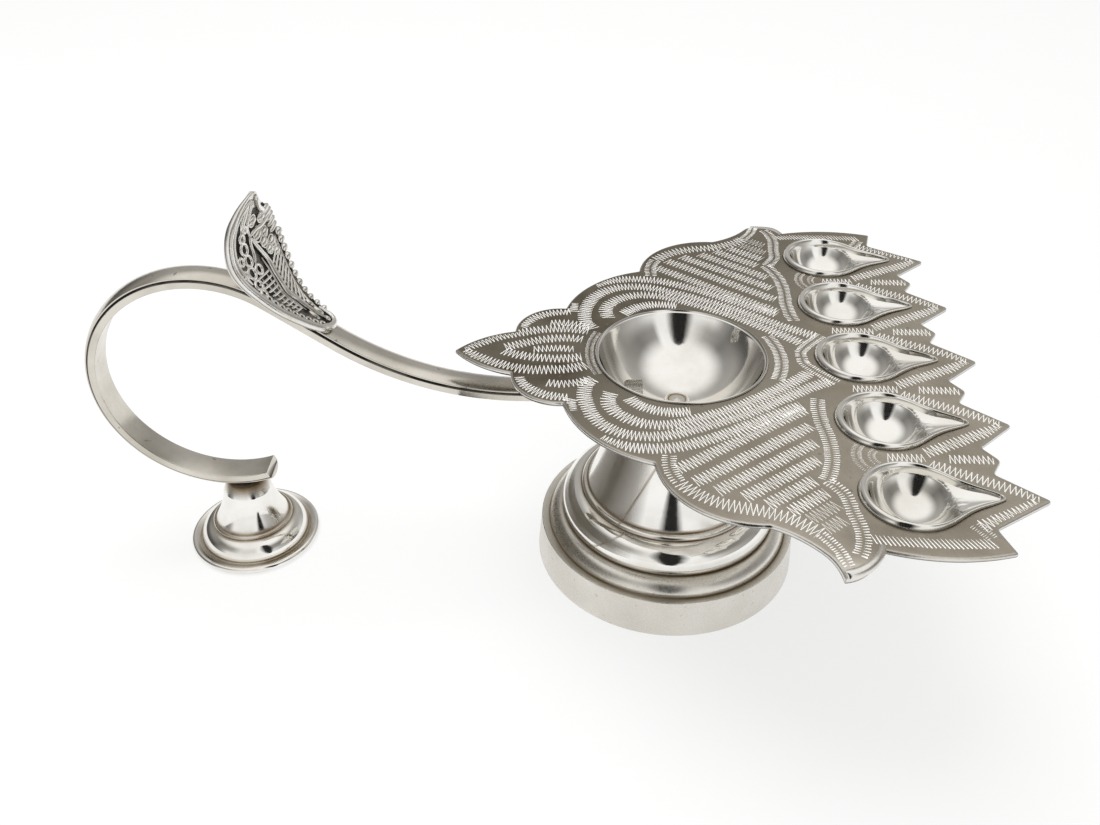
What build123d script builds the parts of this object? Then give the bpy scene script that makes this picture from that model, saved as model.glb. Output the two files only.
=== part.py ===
"""Five-wick aarti lamp: engraved plate, bowl, wick cups, spun pedestal and scroll handle.

Millimetres, +Z up. The origin is on the table, on the pedestal's axis. The cups lie towards +X
and the handle towards -X. The lamp is symmetric about the XZ plane.
"""
import os
from math import acos, cos, sin, sqrt

from build123d import *

os.makedirs("parts", exist_ok=True)

# sheet metal and fits
SHEET = 0.9
PLATE_THICKNESS = 1.2
FIT = 0.15

# pedestal: drum, collar and neck, from the table up
DRUM_RADIUS = 32.5
DRUM_TAPER = 0.8
DRUM_HEIGHT = 10.2
DRUM_GROOVE = 2.0
SHOULDER_HEIGHT = 3.3
COLLAR_RADIUS = 26.1
COLLAR_HEIGHT = 7.0
COLLAR_BULGE = 2.1
COLLAR_SEAT = 2.4
NECK_FOOT_RADIUS = 21.9
NECK_RIM_HEIGHT = 1.1
NECK_RIM_WIDTH = 1.5
NECK_HEIGHT = 26.1
NECK_TOP_RADIUS = 14.6
NECK_HOLLOW = 1.3
SEAT_DROP = 2.2
SEAT_RADIUS = 7.0

# centre bowl and its rivet
BOWL_RIM_RADIUS = 19.8
BOWL_LIP = 0.9
BOWL_RIM_HEIGHT = 1.0
BOWL_BULGE = 2.5
BOWL_STAND = 12.7
RIVET_HEAD_RADIUS = 3.1
RIVET_HEAD_HEIGHT = 0.9
RIVET_DISH = 0.35
RIVET_SHANK_RADIUS = 1.5
RIVET_CLENCH_RADIUS = 2.6
RIVET_CLENCH_HEIGHT = 0.8

# wick cups in a straight row across the plate
CUP_COUNT = 5
CUP_PITCH = 24.3
CUP_GAP = 10.6
CUP_RADIUS = 10.0
CUP_REACH = 18.2
CUP_TIP_RADIUS = 0.7
CUP_LIP_HEIGHT = 1.6
CUP_LIP_SLOPE = 0.7
CUP_LIP_SEAT = 0.7
CUP_DEPTH = 7.2

# plate outline
TOOTH_REACH = 27.1
TOOTH_NOTCH = 18.4
SMALL_TOOTH_REACH = 21.1
SMALL_TOOTH_HALF = 4.3
END_NOTCH = 8.4
END_TOOTH_REACH = 15.9
WING_MARGIN = 14.9
WING_HOOK = 6.1
WING_CORNER_INSET = 1.6
WING_EDGE_BOW = 1.9
TAIL_REACH = 52.0
TAIL_NOTCH_X = 38.6
TAIL_NOTCH_Y = 8.9
SIDE_NOTCH_X = 26.8
SIDE_NOTCH_Y = 20.1
WING_NOTCH_X = 8.1
WING_NOTCH_Y = 39.9
WING_SHOULDER_X = 12.4
WING_SHOULDER_Y = 57.7
WING_TIP_X = 24.2
TAIL_BOW = 1.4
LOBE_BOW = 3.6
WING_BOW = 5.5
HOOK_BOW = 1.6

# scroll handle: a flat strip with a half-round band along its outside
STRIP_WIDTH = 7.2
STRIP_THICKNESS = 1.9
BAND_WIDTH = 6.4
BAND_EDGE = 0.5
BAND_CROWN = 1.3
HANDLE_LEVEL_RUN = 37.7
HANDLE_RISE_ANGLE = 35.0
HANDLE_SWEEP_RADIUS = 72.0
HANDLE_STRAIGHT = 17.3
CURL_RADIUS = 28.5
CURL_ANGLE = 236.0

# cast thumb leaf on the straight of the handle
LEAF_THICKNESS = 1.6
LEAF_SETBACK = 5.8
LEAF_BASE = 4.2
LEAF_HEIGHT = 20.0
LEAF_LEAN = 21.4
LEAF_BEND_LEAN = 17.8
LEAF_BEND_HEIGHT = 8.5
LEAF_HALF_WIDTH = 11.4
LEAF_END_HALF = 4.2

# small foot under the free end of the handle
FOOT_OFFSET = 2.6
FOOT_RADIUS = 16.3
FOOT_RIM_HEIGHT = 1.8
FOOT_GROOVE = 0.9
FOOT_GROOVE_DEPTH = 0.5
FOOT_COLLAR_RADIUS = 13.5
FOOT_COLLAR_HEIGHT = 4.3
FOOT_COLLAR_BULGE = 0.9
FOOT_NECK_RADIUS = 10.1
FOOT_NECK_TOP = 6.0
FOOT_NECK_HOLLOW = 0.5
FOOT_PAD_RADIUS = 4.4
FOOT_PAD_HEIGHT = 2.6

# levels and places worked out from the sizes above
drum_top = DRUM_HEIGHT + SHOULDER_HEIGHT
collar_top = drum_top + COLLAR_HEIGHT
neck_top = collar_top + NECK_HEIGHT
bowl_seat = neck_top - SEAT_DROP
plate_top = bowl_seat + BOWL_STAND + PLATE_THICKNESS
plate_bottom = plate_top - PLATE_THICKNESS
bowl_wall_radius = BOWL_RIM_RADIUS - BOWL_LIP
bowl_foot_radius = SEAT_RADIUS - FIT
cup_x = BOWL_RIM_RADIUS + CUP_GAP + CUP_RADIUS
crown_half = CUP_PITCH * (CUP_COUNT - 1) / 2


def mirrored(points):
    """The same points on the other side of the XZ plane, in reverse order."""
    return [(x, -y) for x, y in reversed(points)]


def bowed(start, end, bow):
    """Middle of the line from start to end, pushed out to the left of it by bow."""
    run, rise = end[0] - start[0], end[1] - start[1]
    length = sqrt(run * run + rise * rise)
    return (start[0] + end[0]) / 2 - rise / length * bow, (start[1] + end[1]) / 2 + run / length * bow


def teardrop(radius, reach, tip):
    """Outline of a wick cup about its round centre, with a rounded tip towards +X."""
    centre = reach - tip
    touch = acos((radius - tip) / centre)
    big = (radius * cos(touch), radius * sin(touch))
    small = (centre + tip * cos(touch), tip * sin(touch))
    with BuildLine() as outline:
        ThreePointArc(big, (-radius, 0), (big[0], -big[1]))
        Line((big[0], -big[1]), (small[0], -small[1]))
        ThreePointArc((small[0], -small[1]), (reach, 0), small)
        Line(small, big)
    return outline.line


def bowl_room():
    """Profile of the room that the bowl takes, with its clearance, for what is fitted against it."""
    foot = (bowl_foot_radius + FIT, bowl_seat)
    wall = (bowl_wall_radius + FIT, plate_top)
    with BuildLine(Plane.XZ) as room:
        ThreePointArc(foot, bowed(foot, wall, -BOWL_BULGE), wall)
        Polyline(wall, (0, plate_top), (0, bowl_seat), foot)
    return room.line


# Pedestal drum: tapered band, groove and rounded shoulder, open underneath
with BuildPart() as pedestal_drum:
    with BuildSketch(Plane.XZ):
        with BuildLine():
            band_top = (DRUM_RADIUS - DRUM_TAPER, DRUM_HEIGHT)
            groove = (band_top[0] - DRUM_GROOVE, DRUM_HEIGHT)
            shoulder = (COLLAR_RADIUS + FIT, drum_top)
            rim = (COLLAR_RADIUS - COLLAR_SEAT, drum_top)
            Polyline((DRUM_RADIUS, 0), band_top, groove)
            ThreePointArc(groove, bowed(groove, shoulder, -SHEET), shoulder)
            Line(shoulder, rim)
            Line(rim, (rim[0], drum_top - SHEET))
            under_shoulder = (shoulder[0] - SHEET, drum_top - SHEET)
            under_groove = (groove[0] - SHEET, DRUM_HEIGHT - SHEET)
            Line((rim[0], drum_top - SHEET), under_shoulder)
            ThreePointArc(under_shoulder, bowed(under_shoulder, under_groove, SHEET), under_groove)
            Polyline(under_groove, (band_top[0] - SHEET, DRUM_HEIGHT - SHEET), (DRUM_RADIUS - SHEET, 0),
                     (DRUM_RADIUS, 0))
        make_face()
    revolve(axis=Axis.Z)
pedestal_drum.part.label = "pedestal_drum"

# Pedestal collar: rounded ring between drum and neck
with BuildPart() as pedestal_collar:
    with BuildSketch(Plane.XZ):
        with BuildLine():
            low = (COLLAR_RADIUS, drum_top)
            high = (NECK_FOOT_RADIUS, collar_top)
            seat = (NECK_FOOT_RADIUS - COLLAR_SEAT, collar_top)
            ThreePointArc(low, bowed(low, high, -COLLAR_BULGE), high)
            Polyline(high, seat, (seat[0], collar_top - SHEET), (high[0] - SHEET, collar_top - SHEET))
            inner_low = (COLLAR_RADIUS - COLLAR_SEAT, drum_top)
            inner_high = (high[0] - SHEET, collar_top - SHEET)
            ThreePointArc(inner_high, bowed(inner_high, inner_low, COLLAR_BULGE - SHEET / 2), inner_low)
            Line(inner_low, low)
        make_face()
    revolve(axis=Axis.Z)
pedestal_collar.part.label = "pedestal_collar"

# Pedestal neck: waisted cone with a turned foot rim and a seat for the bowl in its thick top
with BuildPart() as pedestal_neck:
    with BuildSketch(Plane.XZ):
        with BuildLine():
            rim_foot = (NECK_FOOT_RADIUS, collar_top)
            rim_top = (NECK_FOOT_RADIUS - NECK_RIM_WIDTH, collar_top + NECK_RIM_HEIGHT)
            crest = (NECK_TOP_RADIUS, neck_top)
            ThreePointArc(rim_foot, bowed(rim_foot, rim_top, -NECK_RIM_HEIGHT / 3), rim_top)
            ThreePointArc(rim_top, bowed(rim_top, crest, NECK_HOLLOW), crest)
            hole = RIVET_SHANK_RADIUS + FIT
            inner_crest = (NECK_TOP_RADIUS - SHEET, bowl_seat - SHEET)
            Polyline(crest, (hole, neck_top), (hole, bowl_seat - SHEET), inner_crest)
            inner_foot = (rim_top[0] - SHEET, collar_top)
            ThreePointArc(inner_crest, bowed(inner_crest, inner_foot, -NECK_HOLLOW), inner_foot)
            Line(inner_foot, rim_foot)
        make_face()
    revolve(axis=Axis.Z)
    with BuildSketch(Plane.XZ):
        add(bowl_room())
        make_face()
    revolve(axis=Axis.Z, mode=Mode.SUBTRACT)
pedestal_neck.part.label = "pedestal_neck"

# Centre bowl: spun cup that hangs in the plate by its rounded lip and stands on the neck's seat
with BuildPart() as centre_bowl:
    with BuildSketch(Plane.XZ):
        with BuildLine():
            rivet_hole = RIVET_SHANK_RADIUS + FIT
            foot_edge = (bowl_foot_radius, bowl_seat)
            wall_top = (bowl_wall_radius, plate_top)
            lip_edge = (BOWL_RIM_RADIUS, plate_top)
            lip_top = (bowl_wall_radius - SHEET, plate_top + BOWL_RIM_HEIGHT)
            Line((rivet_hole, bowl_seat), foot_edge)
            ThreePointArc(foot_edge, bowed(foot_edge, wall_top, -BOWL_BULGE), wall_top)
            Line(wall_top, lip_edge)
            ThreePointArc(lip_edge, bowed(lip_edge, lip_top, -BOWL_RIM_HEIGHT / 3), lip_top)
            inner_wall = (lip_top[0] - SHEET / 2, plate_top + BOWL_RIM_HEIGHT / 2)
            inner_floor = (bowl_foot_radius - SHEET / 2, bowl_seat + SHEET)
            Line(lip_top, inner_wall)
            ThreePointArc(inner_wall, bowed(inner_wall, inner_floor, BOWL_BULGE), inner_floor)
            Polyline(inner_floor, (rivet_hole, bowl_seat + SHEET), (rivet_hole, bowl_seat))
        make_face()
    revolve(axis=Axis.Z)
centre_bowl.part.label = "centre_bowl"

# Rivet through the bowl's floor and the neck's seat, with a dished button head
with BuildPart() as bowl_rivet:
    with BuildSketch(Plane.XZ):
        with BuildLine():
            floor = bowl_seat + SHEET
            clench = bowl_seat - SHEET
            head_edge = (RIVET_HEAD_RADIUS, floor)
            dish_edge = (RIVET_HEAD_RADIUS * 2 / 3, floor + RIVET_HEAD_HEIGHT - RIVET_DISH)
            Polyline((0, dish_edge[1]), (0, clench - RIVET_CLENCH_HEIGHT),
                     (RIVET_CLENCH_RADIUS / 2, clench - RIVET_CLENCH_HEIGHT))
            ThreePointArc((RIVET_CLENCH_RADIUS / 2, clench - RIVET_CLENCH_HEIGHT),
                          (RIVET_CLENCH_RADIUS * 0.85, clench - RIVET_CLENCH_HEIGHT * 0.7),
                          (RIVET_CLENCH_RADIUS, clench))
            Polyline((RIVET_CLENCH_RADIUS, clench), (RIVET_SHANK_RADIUS, clench), (RIVET_SHANK_RADIUS, floor),
                     head_edge)
            ThreePointArc(head_edge, (RIVET_HEAD_RADIUS * 0.88, floor + RIVET_HEAD_HEIGHT), dish_edge)
            Line(dish_edge, (0, dish_edge[1]))
        make_face()
    revolve(axis=Axis.Z)
bowl_rivet.part.label = "bowl_rivet"

# Lamp plate: lobed tail, hooked wings and a crown of teeth, with holes for the bowl and the cups
half_outline = []
for step in range(CUP_COUNT // 2 + 1):
    tooth_y = step * CUP_PITCH
    half_outline.append((cup_x + TOOTH_REACH, tooth_y))
    if step < CUP_COUNT // 2:
        middle = tooth_y + CUP_PITCH / 2
        half_outline.append((cup_x + TOOTH_NOTCH, middle - SMALL_TOOTH_HALF))
        half_outline.append((cup_x + SMALL_TOOTH_REACH, middle))
        half_outline.append((cup_x + TOOTH_NOTCH, middle + SMALL_TOOTH_HALF))
half_outline.append((cup_x + TOOTH_NOTCH - SMALL_TOOTH_HALF, crown_half + END_NOTCH))
half_outline.append((cup_x + END_TOOTH_REACH, crown_half + WING_MARGIN))

with BuildPart() as lamp_plate:
    with BuildSketch(Plane.XY.offset(plate_bottom)):
        with BuildLine():
            end_tooth = half_outline[-1]
            wing_corner = (cup_x - CUP_RADIUS + WING_CORNER_INSET, crown_half + WING_MARGIN)
            wing_tip = (WING_TIP_X, crown_half + WING_MARGIN + WING_HOOK)
            wing_shoulder = (WING_SHOULDER_X, WING_SHOULDER_Y)
            wing_notch = (-WING_NOTCH_X, WING_NOTCH_Y)
            side_notch = (-SIDE_NOTCH_X, SIDE_NOTCH_Y)
            tail_notch = (-TAIL_NOTCH_X, TAIL_NOTCH_Y)
            tail_tip = (-TAIL_REACH, 0)
            Polyline(*half_outline)
            ThreePointArc(end_tooth, bowed(end_tooth, wing_corner, -WING_EDGE_BOW), wing_corner)
            ThreePointArc(wing_corner, bowed(wing_corner, wing_tip, -HOOK_BOW), wing_tip)
            ThreePointArc(wing_tip, bowed(wing_tip, wing_shoulder, HOOK_BOW), wing_shoulder)
            ThreePointArc(wing_shoulder, bowed(wing_shoulder, wing_notch, -WING_BOW), wing_notch)
            ThreePointArc(wing_notch, bowed(wing_notch, side_notch, -LOBE_BOW), side_notch)
            ThreePointArc(side_notch, bowed(side_notch, tail_notch, -LOBE_BOW), tail_notch)
            ThreePointArc(tail_notch, bowed(tail_notch, tail_tip, -TAIL_BOW), tail_tip)
            mirror(about=Plane.XZ)
        make_face()
        Circle(bowl_wall_radius + FIT, mode=Mode.SUBTRACT)
    extrude(amount=PLATE_THICKNESS)
    with BuildSketch(Plane.XY.offset(plate_bottom)):
        with GridLocations(0, CUP_PITCH, 1, CUP_COUNT):
            with Locations((cup_x, 0)):
                add(make_face(teardrop(CUP_RADIUS - CUP_LIP_SEAT + FIT, CUP_REACH - CUP_LIP_SEAT + FIT,
                                       CUP_TIP_RADIUS), mode=Mode.PRIVATE))
    extrude(amount=PLATE_THICKNESS, mode=Mode.SUBTRACT)
lamp_plate.part.label = "lamp_plate"

# Wick cups: round hollow that runs out into a rising spout, with a sloped lip on the plate
cups = []
body_radius = CUP_RADIUS - CUP_LIP_SEAT
body_reach = CUP_REACH - CUP_LIP_SEAT
hollow_radius = CUP_RADIUS - CUP_LIP_SLOPE - SHEET
hollow_reach = CUP_REACH - CUP_LIP_SLOPE - SHEET
depth_shares = (0.0, 0.45, 0.8, 1.0)
radius_shares = (1.0, 0.9, 0.66, 0.36)
reach_shares = (1.0, 0.78, 0.5, 0.22)
for number in range(CUP_COUNT):
    cup_y = crown_half - number * CUP_PITCH
    with BuildPart() as wick_cup:
        lip_plane = Plane((cup_x, cup_y, plate_top))
        with BuildSketch(lip_plane):
            add(teardrop(CUP_RADIUS, CUP_REACH, CUP_TIP_RADIUS))
            make_face()
        with BuildSketch(lip_plane.offset(CUP_LIP_HEIGHT)):
            add(teardrop(CUP_RADIUS - CUP_LIP_SLOPE, CUP_REACH - CUP_LIP_SLOPE, CUP_TIP_RADIUS))
            make_face()
        loft(ruled=True)
        for depth, wide, far in zip(depth_shares, radius_shares, reach_shares):
            with BuildSketch(lip_plane.offset(-CUP_DEPTH * depth)):
                add(teardrop(body_radius * wide, body_reach * far, CUP_TIP_RADIUS))
                make_face()
        loft()
        for depth, wide, far in zip(depth_shares, radius_shares, reach_shares):
            with BuildSketch(lip_plane.offset(CUP_LIP_HEIGHT - (CUP_DEPTH + CUP_LIP_HEIGHT - SHEET) * depth)):
                add(teardrop(hollow_radius * wide, hollow_reach * far, CUP_TIP_RADIUS))
                make_face()
        loft(mode=Mode.SUBTRACT)
    wick_cup.part.label = f"wick_cup_{number + 1}"
    cups.append(wick_cup.part)

# Path of the handle along the seam between its flat strip and its half-round band
seam_level = neck_top + STRIP_THICKNESS
with BuildLine(Plane.XZ) as handle_path:
    level = Line((-SEAT_RADIUS, seam_level), (-HANDLE_LEVEL_RUN, seam_level))
    rise = JernArc(level @ 1, level % 1, HANDLE_SWEEP_RADIUS, -HANDLE_RISE_ANGLE)
    straight = Line(rise @ 1, (rise @ 1) + (rise % 1) * HANDLE_STRAIGHT)
    curl = JernArc(straight @ 1, straight % 1, CURL_RADIUS, CURL_ANGLE)
path_start = Plane(origin=level @ 0, x_dir=(0, -1, 0), z_dir=level % 0)

# Handle strip: flat inner half of the handle, soldered on the neck and notched round the bowl
with BuildPart() as handle_strip:
    with BuildSketch(path_start):
        Rectangle(STRIP_WIDTH, STRIP_THICKNESS, align=(Align.CENTER, Align.MAX))
    sweep(path=handle_path.line)
    with BuildSketch(Plane.XZ):
        add(bowl_room())
        make_face()
    revolve(axis=Axis.Z, mode=Mode.SUBTRACT)
handle_strip.part.label = "handle_strip"

# Handle band: half-round outer half of the handle, soldered along the strip
with BuildPart() as handle_band:
    with BuildSketch(path_start):
        with BuildLine():
            half = BAND_WIDTH / 2
            Polyline((half, BAND_EDGE), (half, 0), (-half, 0), (-half, BAND_EDGE))
            ThreePointArc((-half, BAND_EDGE), (0, BAND_CROWN), (half, BAND_EDGE))
        make_face()
    sweep(path=handle_path.line)
    with BuildSketch(Plane.XZ):
        add(bowl_room())
        make_face()
    revolve(axis=Axis.Z, mode=Mode.SUBTRACT)
handle_band.part.label = "handle_band"

# Thumb leaf: curled casting that lies on the handle's straight and rises to a point
leaf_start = (straight @ 0) + (straight % 0) * LEAF_SETBACK
leaf_plane = Plane(origin=leaf_start, x_dir=straight % 0, z_dir=(0, 1, 0))
leaf_length = sqrt((LEAF_BASE + LEAF_LEAN) ** 2 + LEAF_HEIGHT**2)
leaf_slope = leaf_plane.x_dir * (LEAF_BASE + LEAF_LEAN) + leaf_plane.y_dir * LEAF_HEIGHT
with BuildPart() as thumb_leaf:
    with BuildSketch(leaf_plane):
        with BuildLine():
            base_end = (LEAF_BASE, BAND_CROWN)
            bend = (LEAF_BASE + LEAF_BEND_LEAN, BAND_CROWN + LEAF_BEND_HEIGHT)
            tip = (LEAF_BASE + LEAF_LEAN, BAND_CROWN + LEAF_HEIGHT)
            Line((-LEAF_END_HALF, BAND_CROWN), base_end)
            lower = TangentArc(base_end, bend, tangent=(1, 0))
            TangentArc(bend, tip, tangent=lower % 1)
            offset(amount=LEAF_THICKNESS, side=Side.LEFT)
        make_face()
    extrude(amount=LEAF_HALF_WIDTH * 1.2, both=True)
    with BuildSketch(Plane(origin=leaf_plane.origin, x_dir=leaf_slope, z_dir=(leaf_slope.Z, 0, -leaf_slope.X))):
        with BuildLine():
            side = [(0, LEAF_END_HALF), (leaf_length * 0.28, LEAF_HALF_WIDTH * 0.74),
                    (leaf_length * 0.6, LEAF_HALF_WIDTH), (leaf_length * 0.86, LEAF_HALF_WIDTH * 0.6),
                    (leaf_length + LEAF_THICKNESS, 0)]
            Spline(*side)
            Spline(*mirrored(side))
            ThreePointArc((0, -LEAF_END_HALF), (-LEAF_END_HALF * 0.6, 0), (0, LEAF_END_HALF))
        make_face()
    extrude(amount=leaf_length, both=True, mode=Mode.INTERSECT)
thumb_leaf.part.label = "thumb_leaf"

# Small foot under the free end: stepped base ring and waisted neck with a pad for the handle
curl_bottom = curl.arc_center.Z - CURL_RADIUS - BAND_CROWN
foot_axis = Axis((curl.arc_center.X + FOOT_OFFSET, 0, 0), (0, 0, 1))
foot_plane = Plane(origin=foot_axis.position, x_dir=(1, 0, 0), z_dir=(0, -1, 0))
foot_collar_top = FOOT_RIM_HEIGHT + FOOT_COLLAR_HEIGHT
with BuildPart() as foot_base:
    with BuildSketch(foot_plane):
        with BuildLine():
            edge = (FOOT_RADIUS - FOOT_RIM_HEIGHT / 2, FOOT_RIM_HEIGHT)
            low = (FOOT_COLLAR_RADIUS, FOOT_RIM_HEIGHT)
            high = (FOOT_NECK_RADIUS, foot_collar_top)
            inner_high = (FOOT_NECK_RADIUS - SHEET, foot_collar_top - SHEET)
            inner_low = (FOOT_COLLAR_RADIUS - SHEET, 0)
            seat_edge = FOOT_NECK_TOP
            Line(inner_low, (FOOT_RADIUS - FOOT_RIM_HEIGHT / 2, 0))
            ThreePointArc((FOOT_RADIUS - FOOT_RIM_HEIGHT / 2, 0), (FOOT_RADIUS, FOOT_RIM_HEIGHT / 2), edge)
            Polyline(edge, (low[0] + FOOT_GROOVE, FOOT_RIM_HEIGHT - FOOT_GROOVE_DEPTH),
                     (low[0], FOOT_RIM_HEIGHT - FOOT_GROOVE_DEPTH), low)
            ThreePointArc(low, bowed(low, high, -FOOT_COLLAR_BULGE), high)
            Polyline(high, (seat_edge, foot_collar_top), (seat_edge, foot_collar_top - SHEET), inner_high)
            ThreePointArc(inner_high, bowed(inner_high, inner_low, FOOT_COLLAR_BULGE - SHEET / 2), inner_low)
        make_face()
    revolve(axis=foot_axis)
foot_base.part.label = "foot_base"

with BuildPart() as foot_neck:
    with BuildSketch(foot_plane):
        with BuildLine():
            rim_foot = (FOOT_NECK_RADIUS, foot_collar_top)
            rim_top = (FOOT_NECK_RADIUS - SHEET, foot_collar_top + SHEET)
            bevel = (FOOT_NECK_TOP, curl_bottom - FOOT_PAD_HEIGHT)
            pad = (FOOT_PAD_RADIUS, curl_bottom)
            inner_bevel = (FOOT_NECK_TOP - SHEET, curl_bottom - FOOT_PAD_HEIGHT)
            inner_pad = (FOOT_PAD_RADIUS - SHEET, curl_bottom - SHEET)
            inner_foot = (rim_top[0] - SHEET, foot_collar_top)
            ThreePointArc(rim_foot, bowed(rim_foot, rim_top, -SHEET / 4), rim_top)
            ThreePointArc(rim_top, bowed(rim_top, bevel, FOOT_NECK_HOLLOW), bevel)
            Polyline(bevel, pad, (0, curl_bottom), (0, curl_bottom - SHEET), inner_pad, inner_bevel)
            ThreePointArc(inner_bevel, bowed(inner_bevel, inner_foot, -FOOT_NECK_HOLLOW), inner_foot)
            Line(inner_foot, rim_foot)
        make_face()
    revolve(axis=foot_axis)
foot_neck.part.label = "foot_neck"

single_pieces = [pedestal_drum, pedestal_collar, pedestal_neck, centre_bowl, bowl_rivet, lamp_plate, handle_strip,
                 handle_band, thumb_leaf, foot_base, foot_neck]
for piece in [builder.part for builder in single_pieces] + cups:
    export_step(piece, f"parts/{piece.label}.step")
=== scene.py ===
"""Looks of a five-wick aarti lamp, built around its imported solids.

Lengths are in millimetres until a mesh is made. The lamp stands on the floor with the axis of its
pedestal at the origin, its cups towards +X and its handle towards -X.
"""
import math
import random

import bmesh
import bpy
import numpy as np
from mathutils import Matrix, Vector
from mathutils.geometry import delaunay_2d_cdt


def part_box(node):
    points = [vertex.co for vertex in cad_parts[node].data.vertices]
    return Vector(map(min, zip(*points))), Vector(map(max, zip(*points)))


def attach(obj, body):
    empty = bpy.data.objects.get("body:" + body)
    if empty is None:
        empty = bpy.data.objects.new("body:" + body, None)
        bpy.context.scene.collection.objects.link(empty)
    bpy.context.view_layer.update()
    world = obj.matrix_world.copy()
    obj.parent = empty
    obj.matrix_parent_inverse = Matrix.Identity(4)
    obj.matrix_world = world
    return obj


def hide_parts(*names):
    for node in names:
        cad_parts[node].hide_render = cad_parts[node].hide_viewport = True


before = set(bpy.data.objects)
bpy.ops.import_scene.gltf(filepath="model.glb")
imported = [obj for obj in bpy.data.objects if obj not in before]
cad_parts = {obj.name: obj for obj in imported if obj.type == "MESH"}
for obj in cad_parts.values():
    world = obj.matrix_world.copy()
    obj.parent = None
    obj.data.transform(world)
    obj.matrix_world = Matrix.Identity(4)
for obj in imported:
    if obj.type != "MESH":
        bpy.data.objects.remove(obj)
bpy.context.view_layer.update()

MM = 0.001
random.seed(11)


def span(name):
    """Lowest and highest corner of a solid."""
    low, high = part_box(name)
    return low / MM, high / MM


def placed(name, data):
    """A new object in the scene."""
    made = bpy.data.objects.new(name, data)
    bpy.context.scene.collection.objects.link(made)
    return made


def on_circle(radius, turn, centre=(0.0, 0.0)):
    return (centre[0] + radius * math.cos(turn), centre[1] + radius * math.sin(turn))


# Sizes read from the solids
plate_low, plate_high = span("lamp_plate")
PLATE_TOP = plate_high.z
PLATE_BOTTOM = plate_low.z
PLATE_THICKNESS = PLATE_TOP - PLATE_BOTTOM
DRUM_RADIUS = span("pedestal_drum")[1].x
DRUM_TOP = span("pedestal_drum")[1].z
COLLAR_TOP = span("pedestal_collar")[1].z
NECK_TOP = span("pedestal_neck")[1].z
BOWL_SEAT = span("centre_bowl")[0].z
BOWL_RIM_RADIUS = span("centre_bowl")[1].x
foot_low, foot_high = span("foot_base")
FOOT_X = (foot_low.x + foot_high.x) / 2
FOOT_RADIUS = (foot_high.x - foot_low.x) / 2
FOOT_COLLAR_TOP = foot_high.z
FOOT_TOP = span("foot_neck")[1].z
CUP_NODES = ["wick_cup_1", "wick_cup_2", "wick_cup_3", "wick_cup_4", "wick_cup_5"]
cup_boxes = [span(name) for name in CUP_NODES]
CUP_RADIUS = (cup_boxes[0][1].y - cup_boxes[0][0].y) / 2
CUP_X = cup_boxes[0][0].x + CUP_RADIUS
CUP_REACH = cup_boxes[0][1].x - CUP_X
CUP_YS = [(low.y + high.y) / 2 for low, high in cup_boxes]
CUP_PITCH = CUP_YS[0] - CUP_YS[1]
CUP_DEPTH = PLATE_TOP - cup_boxes[0][0].z

# Sizes of the part that its boxes don't show
SHEET = 0.9
FIT = 0.15
DRUM_TAPER = 0.8
DRUM_GROOVE = 2.0
SHOULDER_HEIGHT = 3.3
COLLAR_RADIUS = 26.1
COLLAR_BULGE = 2.1
COLLAR_SEAT = 2.4
NECK_FOOT_RADIUS = 21.9
NECK_RIM_HEIGHT = 1.1
NECK_RIM_WIDTH = 1.5
NECK_TOP_RADIUS = 14.6
NECK_HOLLOW = 1.3
SEAT_RADIUS = 7.0
BOWL_LIP = 0.9
BOWL_BULGE = 2.5
BOWL_RIM_CREST = 0.5
BOWL_RIM_EDGE = 0.35
BOWL_RIM_INNER = 0.5
RIVET_HEAD_RADIUS = 3.1
RIVET_HEAD_HEIGHT = 0.9
RIVET_DISH = 0.35
CUP_TIP_RADIUS = 0.7
CUP_LIP_SEAT = 0.7
TOOTH_REACH = 27.1
TOOTH_NOTCH = 18.4
SMALL_TOOTH_REACH = 21.1
SMALL_TOOTH_HALF = 4.3
END_NOTCH = 8.4
END_TOOTH_REACH = 15.9
WING_MARGIN = 14.9
WING_HOOK = 6.1
WING_CORNER_INSET = 1.6
WING_EDGE_BOW = 1.9
TAIL_NOTCH = (-38.6, 8.9)
SIDE_NOTCH = (-26.8, 20.1)
WING_NOTCH = (-8.1, 39.9)
WING_SHOULDER = (12.4, 57.7)
WING_TIP_X = 24.2
TAIL_BOW = 1.4
LOBE_BOW = 3.6
WING_BOW = 5.5
HOOK_BOW = 1.6
STRIP_WIDTH = 7.2
STRIP_THICKNESS = 1.9
BAND_WIDTH = 6.4
BAND_EDGE = 0.5
BAND_CROWN = 1.28
HANDLE_LEVEL_RUN = 37.7
HANDLE_RISE = math.radians(35.0)
HANDLE_SWEEP_RADIUS = 72.0
HANDLE_STRAIGHT = 17.3
CURL_RADIUS = 28.5
CURL_ANGLE = math.radians(236.0)
FOOT_RIM_HEIGHT = 1.8
FOOT_GROOVE = 0.9
FOOT_GROOVE_DEPTH = 0.5
FOOT_COLLAR_RADIUS = 13.5
FOOT_COLLAR_BULGE = 0.9
FOOT_NECK_RADIUS = 10.1
FOOT_NECK_TOP = 6.0
FOOT_NECK_HOLLOW = 0.5
FOOT_PAD_RADIUS = 4.4
FOOT_PAD_HEIGHT = 2.6
DRUM_GROOVE_STEP = 0.45
DRUM_GROOVE_CHAMFER = 0.5
DRUM_SOFT_EDGE = 0.35
SOFT_EDGE = 0.3
FOOT_SOFT_EDGE = 0.25
NECK_SEAT_RIM = 4.6
RIVET_HOLE = 1.7
RIVET_SHANK = 1.5
BOWL_FLOOR_HOLE = 0.5
RIM_STEPS, CAP_STEPS = 8, 44
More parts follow.
